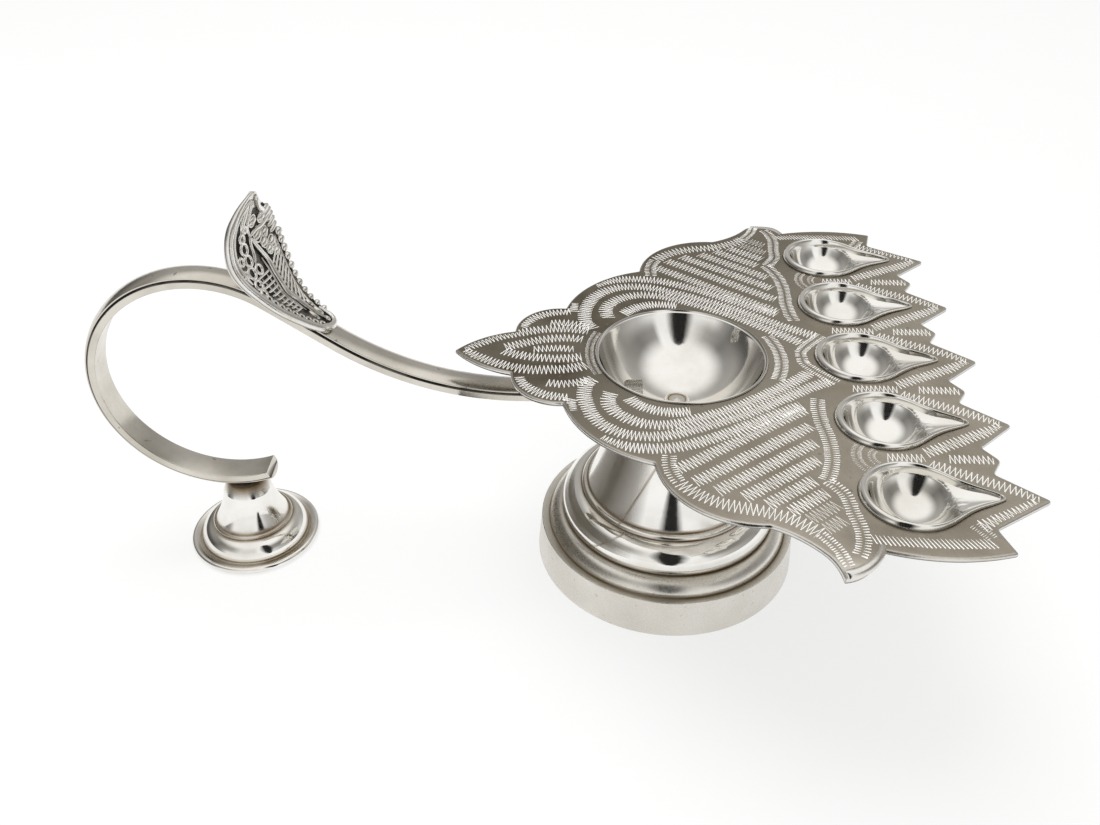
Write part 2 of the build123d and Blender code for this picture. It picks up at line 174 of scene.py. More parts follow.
# The rivet's head as shares of its radius and height, and its clenched end as radius and drop
RIVET_CROWN = ((0.78, 1.0), (0.94, 0.7), (1.0, 0.0))
RIVET_CLENCH = ((2.6, 0.0), (2.2, 0.6), (1.3, 0.8), (0.0, 0.8))
CROWN_HALF = CUP_YS[0]
BOWL_WALL_RADIUS = BOWL_RIM_RADIUS - BOWL_LIP
BOWL_FOOT_RADIUS = SEAT_RADIUS - FIT


# Materials
def add(tree, kind, inputs=(), **settings):
    """A new shader node with its settings, and its inputs set or linked."""
    made = tree.nodes.new("ShaderNode" + kind)
    for key, value in settings.items():
        setattr(made, key, value)
    for key, value in dict(inputs).items():
        if isinstance(value, bpy.types.NodeSocket):
            tree.links.new(value, made.inputs[key])
        else:
            made.inputs[key].default_value = value
    return made


def blank_tree(owner):
    """The emptied node tree of a material or a world."""
    owner.use_nodes = True
    owner.node_tree.nodes.clear()
    return owner.node_tree


def grey(value):
    return (value, value, value, 1.0)


def ramp(tree, source, stops):
    """A colour ramp with (place, colour) stops."""
    made = add(tree, "ValToRGB", {"Fac": source})
    elements = made.color_ramp.elements
    while len(elements) < len(stops):
        elements.new(0.5)
    for element, (place, colour) in zip(elements, stops):
        element.position = place
        element.color = colour
    return made.outputs["Color"]


def blend_colour(tree, factor, first, second):
    made = add(tree, "Mix", {"Factor": factor}, data_type="RGBA")
    for socket, value in zip((made.inputs[6], made.inputs[7]), (first, second)):
        if isinstance(value, bpy.types.NodeSocket):
            tree.links.new(value, socket)
        else:
            socket.default_value = value
    return made.outputs[2]


# Shares of the noise between which a metal turns from dull to light, thins a stain or changes its sheen
DULL_AT, LIGHT_AT = 0.32, 0.62
NOISE_LOW, NOISE_HIGH = 0.3, 0.7
STAIN_THIN, STAIN_FULL = 0.55, 1.3
SPECK_SCALE, SPECK_FROM, SPECK_TO, SPECK_SHADE = 520.0, 0.69, 0.75, 0.35
BUMP_DISTANCE = 0.0004
AGED_FROM, AGED_TO, AGED_WAY, AGED_PEAK = 36.0, -26.0, (0.7, -0.45, 0.0), 1.6


def metal(name, light, dull, stain, smooth, rough, mottle=70.0, grain=900.0, bump=0.06, speck=0.0,
          stain_rough=0.5, aged=None, metallic=1.0):
    """Metal with mottled patina, fine grain, dark specks, stains, and painted shade where the mesh's values
    say; on some pieces the stains paint highlight or shade as well.

    aged is a colour that the metal takes on from AGED_FROM to AGED_TO, measured along AGED_WAY.
    """
    made = bpy.data.materials.new(name)
    made.use_nodes = True
    tree = made.node_tree
    shader = tree.nodes["Principled BSDF"]
    shader.inputs["Metallic"].default_value = metallic
    place = add(tree, "TexCoord").outputs["Object"]
    cloud = add(tree, "TexNoise", {"Vector": place, "Scale": mottle, "Detail": 6.0,
                                   "Roughness": 0.6}).outputs["Fac"]
    fine = add(tree, "TexNoise", {"Vector": place, "Scale": grain, "Detail": 4.0,
                                  "Roughness": 0.65}).outputs["Fac"]
    colour = ramp(tree, cloud, [(DULL_AT, dull), (LIGHT_AT, light)])
    if aged:
        along = add(tree, "VectorMath", {0: place, 1: AGED_WAY}, operation="DOT_PRODUCT").outputs["Value"]
        share = add(tree, "MapRange", {"Value": along, "From Min": AGED_FROM * MM, "From Max": AGED_TO * MM,
                                       "To Max": AGED_PEAK}).outputs["Result"]
        patchy = add(tree, "Math", {0: share, 1: cloud}, operation="MULTIPLY", use_clamp=True)
        colour = blend_colour(tree, patchy.outputs[0], colour, aged)
    if speck:
        dots = add(tree, "TexNoise", {"Vector": place, "Scale": SPECK_SCALE, "Detail": 2.0}).outputs["Fac"]
        spots = ramp(tree, dots, [(SPECK_FROM, grey(0.0)), (SPECK_TO, grey(speck))])
        colour = blend_colour(tree, spots, colour, tuple(SPECK_SHADE * c for c in stain[:3]) + (1.0,))
    mask = add(tree, "Attribute", attribute_name="stain").outputs["Fac"]
    uneven = add(tree, "MapRange", {"Value": cloud, "From Min": NOISE_LOW, "From Max": NOISE_HIGH,
                                    "To Min": STAIN_THIN, "To Max": STAIN_FULL}).outputs["Result"]
    patch = add(tree, "Math", {0: mask, 1: uneven}, operation="MULTIPLY", use_clamp=True).outputs[0]
    colour = blend_colour(tree, patch, colour, stain)
    # Painted shade: a further mesh value darkens the metal towards DARK, as in the band low on the plate's
    # edge
    painted_shade = add(tree, "Attribute", attribute_name="painted_shade").outputs["Fac"]
    colour = blend_colour(tree, painted_shade, colour, DARK)
    tree.links.new(colour, shader.inputs["Base Color"])
    sheen = add(tree, "MapRange", {"Value": fine, "From Min": NOISE_LOW, "From Max": NOISE_HIGH,
                                   "To Min": smooth, "To Max": rough}).outputs["Result"]
    dulled = add(tree, "Math", {0: patch, 1: stain_rough, 2: sheen}, operation="MULTIPLY_ADD",
                 use_clamp=True)
    tree.links.new(dulled.outputs[0], shader.inputs["Roughness"])
    bumped = add(tree, "Bump", {"Height": fine, "Strength": bump, "Distance": BUMP_DISTANCE})
    tree.links.new(bumped.outputs["Normal"], shader.inputs["Normal"])
    return made


BROWN = (0.27, 0.195, 0.105, 1.0)
DARK = (0.045, 0.04, 0.034, 1.0)
UMBER = (0.085, 0.062, 0.036, 1.0)
BRIGHT, WORN = (0.92, 0.905, 0.87, 1.0), (0.78, 0.755, 0.70, 1.0)
POLISHED = metal("polished_white_metal", BRIGHT, WORN, BROWN, 0.06, 0.11, bump=0.010)
VESSEL = metal("polished_vessel", BRIGHT, WORN, UMBER, 0.06, 0.11, bump=0.010)
SATIN = metal("satin_white_metal", (0.79, 0.765, 0.71, 1), (0.65, 0.62, 0.56, 1), BROWN, 0.24, 0.33,
              mottle=32.0, grain=700.0, bump=0.015, speck=0.22)
STRAP = metal("strap_white_metal", (0.72, 0.685, 0.62, 1), (0.54, 0.505, 0.44, 1), DARK, 0.13, 0.22,
              mottle=60.0, grain=800.0, bump=0.015, speck=0.5)
# The plate's stain is lighter, smoother metal: polish on the wing tips and their rolls, a painted highlight
# on the rounded edge and underside
PLATE = metal("matt_plate", (0.56, 0.515, 0.435, 1), (0.40, 0.36, 0.29, 1), (0.80, 0.78, 0.74, 1), 0.42, 0.56,
              mottle=55.0, grain=1200.0, bump=0.08, speck=0.6, stain_rough=-0.30, aged=(0.115, 0.09, 0.06, 1))
# Mostly matt white, so the cuts look bright from every side: a painted glint of the bright-cut facets
CUT = metal("bright_cut", (0.98, 0.97, 0.95, 1), (0.90, 0.885, 0.85, 1), DARK, 0.26, 0.38, mottle=300.0,
            bump=0.02, metallic=0.12)
# The cast leaf's stain darkens its ground, and the lower halves of its relief as painted shade
CAST = metal("cast_white_metal", (0.90, 0.885, 0.85, 1), (0.68, 0.655, 0.60, 1), DARK, 0.12, 0.26,
             mottle=160.0, grain=1500.0, bump=0.08)


# Meshes
def piece(name, verts, faces, material, slot, *nodes, marks=None, painted_shade=None, sharp=38.0):
    """One visible piece, in millimetres, that rides on the lamp and stands for the named solids.

    marks holds a stain value for each vertex, and the list after it a share of painted shade.
    """
    mesh = bpy.data.meshes.new(name)
    mesh.from_pydata([(x * MM, y * MM, z * MM) for x, y, z in verts], [], faces)
    values = mesh.attributes.new("stain", "FLOAT", "POINT")
    if marks:
        values.data.foreach_set("value", marks)
    if painted_shade:
        mesh.attributes.new("painted_shade", "FLOAT", "POINT").data.foreach_set("value", painted_shade)
    work = bmesh.new()
    work.from_mesh(mesh)
    bmesh.ops.remove_doubles(work, verts=work.verts, dist=1e-7)
    bmesh.ops.recalc_face_normals(work, faces=work.faces)
    work.to_mesh(mesh)
    work.free()
    mesh.materials.append(material)
    for face in mesh.polygons:
        face.use_smooth = True
    mesh.set_sharp_from_angle(angle=math.radians(sharp))
    made = placed(name, mesh)
    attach(made, "root")
    if nodes:
        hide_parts(*nodes)
    return made


def bridge(here, there):
    """Faces between two closed rings of vertex numbers."""
    ahead = [(i + 1) % len(here) for i in range(len(here))]
    return [(here[i], here[j], there[j], there[i]) for i, j in enumerate(ahead)]


def arc(start, end, bow, steps=14):
    """Points of an arc after its start; its middle is pushed to the left of the way by bow."""
    run, rise = end[0] - start[0], end[1] - start[1]
    chord = math.hypot(run, rise)
    half = 2 * math.atan(2 * abs(bow) / chord)
    points = []
    for step in range(1, steps + 1):
        turn = half * (2 * step / steps - 1)
        along = (math.sin(turn) / math.sin(half) + 1) / 2
        off = bow * (math.cos(turn) - math.cos(half)) / (1 - math.cos(half)) / chord
        points.append((start[0] + run * along - rise * off, start[1] + rise * along + run * off))
    return points


def softened(points, radius, steps=4, least=0.35):
    """A closed line with its corners rounded."""
    out = []
    for index, here in enumerate(points):
        corner = Vector(here)
        back = Vector(points[index - 1]) - corner
        ahead = Vector(points[(index + 1) % len(points)]) - corner
        if back.length < 1e-6 or ahead.length < 1e-6 or math.pi - back.angle(ahead) < least:
            out.append(tuple(here))
            continue
        reach = min(radius, 0.45 * back.length, 0.45 * ahead.length)
        first, last = corner + back.normalized() * reach, corner + ahead.normalized() * reach
        for step in range(steps + 1):
            share = step / steps
            bend = first * (1 - share) ** 2 + corner * 2 * share * (1 - share) + last * share ** 2
            out.append(tuple(bend))
    return out


def near(places, width):
    """A stain that is strong at the given (radius, height) places of a turned piece."""
    def value(radius, height, angle):
        gap = min(math.hypot(radius - r, height - z) for r, z in places)
        return math.exp(-((gap / width) ** 2))
    return value


def solder(angle, slant, middle, width=0.26, strength=0.8):
    """A stain like a thin slanted solder line, at an angle in degrees where its height is middle."""
    def value(radius, height, turn):
        gap = (turn - math.radians(angle)) * radius - slant * (height - middle)
        return strength * math.exp(-((gap / width) ** 2))
    return value


def spun(name, profile, material, slot, node, axis=0.0, segments=176, stains=()):
    """A turned piece from its closed profile of (radius, height) points, with its stains."""
    count = len(profile)
    verts, faces, marks = [], [], []
    for turn in range(segments):
        angle = 2 * math.pi * turn / segments - math.pi
        for r, z in profile:
            verts.append((axis + r * math.cos(angle), r * math.sin(angle), z))
            marks.append(max((stain(r, z, angle) for stain in stains), default=0.0))
    for turn in range(segments):
        here, there = turn * count, (turn + 1) % segments * count
        for i in range(count):
            j = (i + 1) % count
            faces.append((here + i, there + i, there + j, here + j))
    return piece(name, verts, faces, material, slot, node, marks=marks)


# Pedestal
band_top = (DRUM_RADIUS - DRUM_TAPER, DRUM_TOP - SHOULDER_HEIGHT)
groove = (band_top[0] - DRUM_GROOVE, band_top[1])
groove_foot = (groove[0], groove[1] - DRUM_GROOVE_STEP)
shoulder = (COLLAR_RADIUS + FIT, DRUM_TOP)
drum_rim = (COLLAR_RADIUS - COLLAR_SEAT, DRUM_TOP)
under_shoulder = (shoulder[0] - SHEET, DRUM_TOP - SHEET)
under_groove = (groove[0] - SHEET, band_top[1] - SHEET)
profile = [(DRUM_RADIUS, 0), band_top, (groove[0] + DRUM_GROOVE_CHAMFER, groove_foot[1]), groove_foot]
profile += [groove] + arc(groove, shoulder, -SHEET)
profile += [drum_rim, (drum_rim[0], DRUM_TOP - SHEET), under_shoulder]
profile += arc(under_shoulder, under_groove, SHEET)
profile += [(band_top[0] - SHEET, band_top[1] - SHEET), (DRUM_RADIUS - SHEET, 0)]
spun("pedestal_drum_shell", softened(profile, DRUM_SOFT_EDGE), SATIN, "satin_metal", "pedestal_drum",
     stains=[near([groove_foot, shoulder], width=0.45)])

collar_low, collar_high = (COLLAR_RADIUS, DRUM_TOP), (NECK_FOOT_RADIUS, COLLAR_TOP)
inner_high = (collar_high[0] - SHEET, COLLAR_TOP - SHEET)
inner_low = (COLLAR_RADIUS - COLLAR_SEAT, DRUM_TOP)
profile = [collar_low] + arc(collar_low, collar_high, -COLLAR_BULGE, 20)
collar_bore = collar_high[0] - COLLAR_SEAT
profile += [(collar_bore, COLLAR_TOP), (collar_bore, COLLAR_TOP - SHEET), inner_high]
profile += arc(inner_high, inner_low, COLLAR_BULGE - SHEET / 2)
spun("pedestal_collar_ring", softened(profile, SOFT_EDGE), POLISHED, "polished_metal", "pedestal_collar",
     segments=320, stains=[near([collar_low, collar_high], width=0.4),
                           solder(angle=-130.0, slant=1.2, middle=COLLAR_TOP - 3.0)])

rim_foot = (NECK_FOOT_RADIUS, COLLAR_TOP)
rim_top = (NECK_FOOT_RADIUS - NECK_RIM_WIDTH, COLLAR_TOP + NECK_RIM_HEIGHT)
crest = (NECK_TOP_RADIUS, NECK_TOP)
seat_edge = (SEAT_RADIUS + NECK_SEAT_RIM, NECK_TOP)
seat_low = (SEAT_RADIUS, BOWL_SEAT)
inner_crest = (NECK_TOP_RADIUS - SHEET, BOWL_SEAT - SHEET)
inner_foot = (rim_top[0] - SHEET, COLLAR_TOP)
profile = [rim_foot] + arc(rim_foot, rim_top, -NECK_RIM_HEIGHT / 3, 8)
profile += arc(rim_top, crest, NECK_HOLLOW, 30)
profile += [seat_edge, seat_low, (RIVET_HOLE, BOWL_SEAT), (RIVET_HOLE, BOWL_SEAT - SHEET), inner_crest]
profile += arc(inner_crest, inner_foot, -NECK_HOLLOW, 20)
spun("pedestal_neck_cone", softened(profile, SOFT_EDGE), POLISHED, "polished_metal", "pedestal_neck",
     segments=320, stains=[near([rim_foot, rim_top], width=0.4),
                           solder(angle=-122.0, slant=0.35, middle=COLLAR_TOP + 6.0)])

# Bowl and rivet
foot_edge, wall_top = (BOWL_FOOT_RADIUS, BOWL_SEAT), (BOWL_WALL_RADIUS, PLATE_TOP)
floor_level, clench = BOWL_SEAT + SHEET, BOWL_SEAT - SHEET
profile = [(RIVET_HOLE, BOWL_SEAT), foot_edge] + arc(foot_edge, wall_top, -BOWL_BULGE, 24)
profile.append((BOWL_RIM_RADIUS, PLATE_TOP))
for step in range(1, RIM_STEPS + 1):
    turn = math.pi / 2 * step / RIM_STEPS
    profile.append((BOWL_RIM_RADIUS - BOWL_RIM_EDGE * (1 - math.cos(turn)),
                    PLATE_TOP + BOWL_RIM_CREST * math.sin(turn)))
cap_rim = BOWL_RIM_RADIUS - BOWL_RIM_EDGE - BOWL_RIM_INNER
cap_depth = PLATE_TOP - floor_level
cap_radius = (cap_rim ** 2 + cap_depth ** 2) / (2 * cap_depth)
for step in range(1, RIM_STEPS + 1):
    turn = math.pi / 2 * step / (RIM_STEPS + 1)
    profile.append((cap_rim + BOWL_RIM_INNER * math.cos(turn),
                    PLATE_TOP + BOWL_RIM_CREST * (1 - math.sin(turn) ** 2)))
for step in range(CAP_STEPS):
    turn = math.asin(cap_rim / cap_radius) * (1 - step / CAP_STEPS)
    profile.append((cap_radius * math.sin(turn), floor_level + cap_radius * (1 - math.cos(turn))))
profile.append((BOWL_FLOOR_HOLE, floor_level))
spun("centre_bowl_shell", softened(profile, SOFT_EDGE, least=0.7), VESSEL, "polished_metal", "centre_bowl",
     segments=224, stains=[near([(BOWL_RIM_RADIUS, PLATE_TOP)], width=0.35)])

dish = (RIVET_HEAD_RADIUS * 2 / 3, floor_level + RIVET_HEAD_HEIGHT - RIVET_DISH)
profile = [(0, dish[1]), dish]
profile += [(RIVET_HEAD_RADIUS * wide, floor_level + RIVET_HEAD_HEIGHT * high) for wide, high in RIVET_CROWN]
profile += [(RIVET_SHANK, floor_level), (RIVET_SHANK, clench)]
profile += [(radius, clench - drop) for radius, drop in RIVET_CLENCH]
spun("bowl_rivet_head", softened(profile, SOFT_EDGE), POLISHED, "polished_metal", "bowl_rivet", segments=64,
     stains=[near([(RIVET_HEAD_RADIUS, floor_level + 0.2), dish], width=0.3)])

# Small foot under the free end of the handle
edge = FOOT_RADIUS - FOOT_RIM_HEIGHT / 2
foot_collar_low = (FOOT_COLLAR_RADIUS, FOOT_RIM_HEIGHT)
foot_collar_high = (FOOT_NECK_RADIUS, FOOT_COLLAR_TOP)
groove_level = FOOT_RIM_HEIGHT - FOOT_GROOVE_DEPTH
foot_inner_high = (FOOT_NECK_RADIUS - SHEET, FOOT_COLLAR_TOP - SHEET)
foot_inner_low = (FOOT_COLLAR_RADIUS - SHEET, 0)
profile = [foot_inner_low, (edge, 0)]
profile += arc((edge, 0), (edge, FOOT_RIM_HEIGHT), -FOOT_RIM_HEIGHT / 2, 10)
profile += [(FOOT_COLLAR_RADIUS + FOOT_GROOVE, groove_level), (FOOT_COLLAR_RADIUS, groove_level)]
profile.append(foot_collar_low)
profile += arc(foot_collar_low, foot_collar_high, -FOOT_COLLAR_BULGE, 16)
profile += [(FOOT_NECK_TOP, FOOT_COLLAR_TOP), (FOOT_NECK_TOP, FOOT_COLLAR_TOP - SHEET), foot_inner_high]
profile += arc(foot_inner_high, foot_inner_low, FOOT_COLLAR_BULGE - SHEET / 2)
groove_middle = (FOOT_COLLAR_RADIUS + FOOT_GROOVE / 2, groove_level)
spun("foot_base_ring", softened(profile, SOFT_EDGE), POLISHED, "polished_metal", "foot_base", axis=FOOT_X,
     segments=160, stains=[near([groove_middle, foot_collar_high], width=0.55)])

foot_rim_top = (FOOT_NECK_RADIUS - SHEET, FOOT_COLLAR_TOP + SHEET)
bevel, pad = (FOOT_NECK_TOP, FOOT_TOP - FOOT_PAD_HEIGHT), (FOOT_PAD_RADIUS, FOOT_TOP)
foot_inner_bevel = (FOOT_NECK_TOP - SHEET, bevel[1])
foot_inner_foot = (foot_rim_top[0] - SHEET, FOOT_COLLAR_TOP)
profile = [foot_collar_high] + arc(foot_collar_high, foot_rim_top, -SHEET / 4, 6)
profile += arc(foot_rim_top, bevel, FOOT_NECK_HOLLOW, 20) + [pad, (0, FOOT_TOP), (0, FOOT_TOP - SHEET)]
profile += [(FOOT_PAD_RADIUS - SHEET, FOOT_TOP - SHEET), foot_inner_bevel]
profile += arc(foot_inner_bevel, foot_inner_foot, -FOOT_NECK_HOLLOW)
pad_middle = (FOOT_PAD_RADIUS / 2, FOOT_TOP)
spun("foot_neck_cone", softened(profile, FOOT_SOFT_EDGE), POLISHED, "polished_metal", "foot_neck",
     axis=FOOT_X, segments=160, stains=[near([foot_collar_high, foot_rim_top, pad, pad_middle], width=0.6)])


# Handle
def handle_line(steps):
    """Points (x, z) of the seam along the handle, each with its outward normal."""
    seam = NECK_TOP + STRIP_THICKNESS
    out = []
    for i in range(steps // 4 + 1):
        share = i / (steps // 4)
        out.append((-SEAT_RADIUS + (SEAT_RADIUS - HANDLE_LEVEL_RUN) * share, seam, 0.0))
    for i in range(1, steps // 2 + 1):
        turn = HANDLE_RISE * i / (steps // 2)
        out.append((-HANDLE_LEVEL_RUN - HANDLE_SWEEP_RADIUS * math.sin(turn),
                    seam + HANDLE_SWEEP_RADIUS * (1 - math.cos(turn)), turn))
    start_x, start_z, turn = out[-1]
    for i in range(1, steps // 4 + 1):
        way = HANDLE_STRAIGHT * i / (steps // 4)
        out.append((start_x - way * math.cos(turn), start_z + way * math.sin(turn), turn))
    end_x, end_z, turn = out[-1]
    centre_x, centre_z = end_x - CURL_RADIUS * math.sin(turn), end_z - CURL_RADIUS * math.cos(turn)
    for i in range(1, steps + 1):
        now = turn - CURL_ANGLE * i / steps
        out.append((centre_x + CURL_RADIUS * math.sin(now), centre_z + CURL_RADIUS * math.cos(now), now))
    return out


bowl_wall = [foot_edge] + arc(foot_edge, wall_top, -BOWL_BULGE, 60)


def bowl_radius(z):
    """Radius of the bowl's outside at a height."""
    return min(bowl_wall, key=lambda point: abs(point[1] - z))[0]


def swept(name, section, material, node, stain):
    """A bar with a closed section of (across, outward) points along the handle."""
    line = handle_line(96)
    count = len(section)
    verts, faces, marks = [], [], []
    for index, (x, z, turn) in enumerate(line):
        for across, out in section:
            place = [x + math.sin(turn) * out, across, z + math.cos(turn) * out]
            if index == 0:
                room = bowl_radius(place[2]) + FIT
                place[0] = -math.sqrt(room * room - across * across)
            verts.append(place)
            # Stain per vertex: painted shade in the seam, and a tarnished patch on the band
            marks.append(stain(x, across, out))
    rings = [list(range(first, first + count)) for first in range(0, len(verts), count)]
    for here, there in zip(rings, rings[1:]):
        faces += bridge(here, there)
    faces += [tuple(rings[0]), tuple(reversed(rings[-1]))]
    return piece(name, verts, faces, material, "satin_metal", node, marks=marks)


# Width and strength of the painted shade in the handle's seam, and place, reach and strength of the tarnished
# patch
SEAM_REACH, SEAM_SHADE = 0.22, 0.95
TARNISH_X, TARNISH_REACH, TARNISH_STAIN = -45.5, 6.0, 0.3
STRIP_SOFT_EDGE, BAND_SOFT_EDGE = 0.35, 0.2


def seam_shade(x, across, out):
    """Painted shade along the seam between the two halves of the handle."""
    return SEAM_SHADE if abs(out) < SEAM_REACH else 0.0


def band_tarnish_and_seam_shade(x, across, out):
    """Painted shade along the seam, and a tarnished patch where the band runs out from under the plate."""
    patch = TARNISH_STAIN * math.exp(-(((x - TARNISH_X) / TARNISH_REACH) ** 2))
    return max(patch if out > BAND_EDGE else 0.0, seam_shade(x, across, out))


half = STRIP_WIDTH / 2
strip = [(half, 0), (-half, 0), (-half, -STRIP_THICKNESS), (half, -STRIP_THICKNESS)]
swept("handle_strip_bar", softened(strip, STRIP_SOFT_EDGE), STRAP, "handle_strip", seam_shade)
half = BAND_WIDTH / 2
seam_levels = (0.0, SEAM_REACH * 0.8, SEAM_REACH * 1.2)
band = [(half, level) for level in seam_levels] + [(half, BAND_EDGE)]
band += arc((half, BAND_EDGE), (-half, BAND_EDGE), BAND_EDGE - BAND_CROWN, 12)
band += [(-half, level) for level in reversed(seam_levels)]
swept("handle_band_bar", softened(band, BAND_SOFT_EDGE), STRAP, "handle_band", band_tarnish_and_seam_shade)


# Plate outline, from the middle tooth anticlockwise
half_line = []
for step in range(len(CUP_NODES) // 2 + 1):
    tooth = step * CUP_PITCH
    half_line.append((CUP_X + TOOTH_REACH, tooth))
    if step < len(CUP_NODES) // 2:
        middle = tooth + CUP_PITCH / 2
        half_line.append((CUP_X + TOOTH_NOTCH, middle - SMALL_TOOTH_HALF))
        half_line.append((CUP_X + SMALL_TOOTH_REACH, middle))
        half_line.append((CUP_X + TOOTH_NOTCH, middle + SMALL_TOOTH_HALF))
half_line.append((CUP_X + TOOTH_NOTCH - SMALL_TOOTH_HALF, CROWN_HALF + END_NOTCH))
end_tooth = (CUP_X + END_TOOTH_REACH, CROWN_HALF + WING_MARGIN)
wing_corner = (CUP_X - CUP_RADIUS + WING_CORNER_INSET, CROWN_HALF + WING_MARGIN)
wing_tip = (WING_TIP_X, CROWN_HALF + WING_MARGIN + WING_HOOK)
tail_tip = (plate_low.x, 0.0)
half_line.append(end_tooth)
for start, end, bow in ((end_tooth, wing_corner, -WING_EDGE_BOW), (wing_corner, wing_tip, -HOOK_BOW),
                        (wing_tip, WING_SHOULDER, HOOK_BOW), (WING_SHOULDER, WING_NOTCH, -WING_BOW),
                        (WING_NOTCH, SIDE_NOTCH, -LOBE_BOW), (SIDE_NOTCH, TAIL_NOTCH, -LOBE_BOW),
                        (TAIL_NOTCH, tail_tip, -TAIL_BOW)):
    half_line += arc(start, end, bow, 26)
outline = softened(half_line + [(x, -y) for x, y in reversed(half_line[1:-1])], 0.9, least=0.5)


def inset(loop, amount):
    """An anticlockwise loop moved inwards."""
    out = []
    for index, here in enumerate(loop):
        ahead, behind = loop[(index + 1) % len(loop)], loop[index - 1]
        first = (Vector(here) - Vector(behind)).normalized()
        second = (Vector(ahead) - Vector(here)).normalized()
        middle = Vector((-first.y - second.y, first.x + second.x)).normalized()
        lean = max(0.6, middle.dot(Vector((-first.y, first.x))))
        out.append(tuple(Vector(here) + middle * amount / lean))
    return out


def inside(points, loop):
    """Which points lie inside a closed loop."""
    px, py = np.array(points, float).T
    hit = np.zeros(len(px), bool)
    for (x0, y0), (x1, y1) in zip(loop, loop[1:] + loop[:1]):
        if y0 != y1:
            hit ^= ((y0 > py) != (y1 > py)) & (px < (x1 - x0) * (py - y0) / (y1 - y0) + x0)
    return hit


TIP_STEPS, FLANK_STEPS, ROUND_STEPS = 3, 14, 44
CUP_WAIST = 0.6


def teardrop(radius, reach, tip=CUP_TIP_RADIUS):
    """Outline of a cup about its round centre, anticlockwise from its tip."""
    centre = reach - tip
    touch = math.acos((radius - tip) / centre)
    points = []
    for i in range(TIP_STEPS):
        turn = touch * i / TIP_STEPS
        points.append(on_circle(tip, turn, (centre, 0.0)))
    near_tip, far = on_circle(tip, touch, (centre, 0.0)), on_circle(radius, touch)
    for i in range(FLANK_STEPS):
        share = i / FLANK_STEPS
        waist = CUP_WAIST * math.sin(math.pi * share) ** 2
        points.append((near_tip[0] + (far[0] - near_tip[0]) * share - waist * math.cos(touch),
                       near_tip[1] + (far[1] - near_tip[1]) * share - waist * math.sin(touch)))
    for i in range(ROUND_STEPS // 2 + 1):
        turn = touch + (math.pi - touch) * i / (ROUND_STEPS // 2)
        points.append(on_circle(radius, turn))
    return points + [(x, -y) for x, y in reversed(points[1:-1])]


TIP_CURL_START, TIP_CURL_REACH, TIP_CURL_DROP, TIP_LIP, TIP_ROUND = 65.0, 4.6, 1.6, 0.4, 0.7
# Lighter, smoother metal on the plate's underside, a painted highlight
UNDERSIDE_PAINTED_SHINE = 0.85
# Rounded edge of the plate from its top to its underside: inset, drop, shine (a painted highlight as lighter,
# smoother metal), painted shade
EDGE_ROUND = ((0.27, 0.06, 0.5, 0.0), (0.07, 0.24, 1.0, 0.0), (0.0, 0.5, 1.0, 0.1),
              (0.0, 0.72, 0.8, 0.75), (0.1, 0.95, 0.6, 0.9), (0.3, 1.14, 0.6, 0.9))
EDGE_INSET, EDGE_DEPTH = 0.6, 1.2
GRID_STEP, GRID_LENGTH, GRID_WIDTH = 1.6, 125.0, 142.0
GRID_EDGE_GAP, GRID_HOLE_GAP, HOLE_STEPS = 0.8, 0.6, 96


def tip_share(y):
    """How far a place lies out on a wing's tip, which curls down."""
    return max(0.0, (abs(y) - TIP_CURL_START) / TIP_CURL_REACH)


def plate_level(y):
    return PLATE_TOP - TIP_CURL_DROP * tip_share(y) ** 2


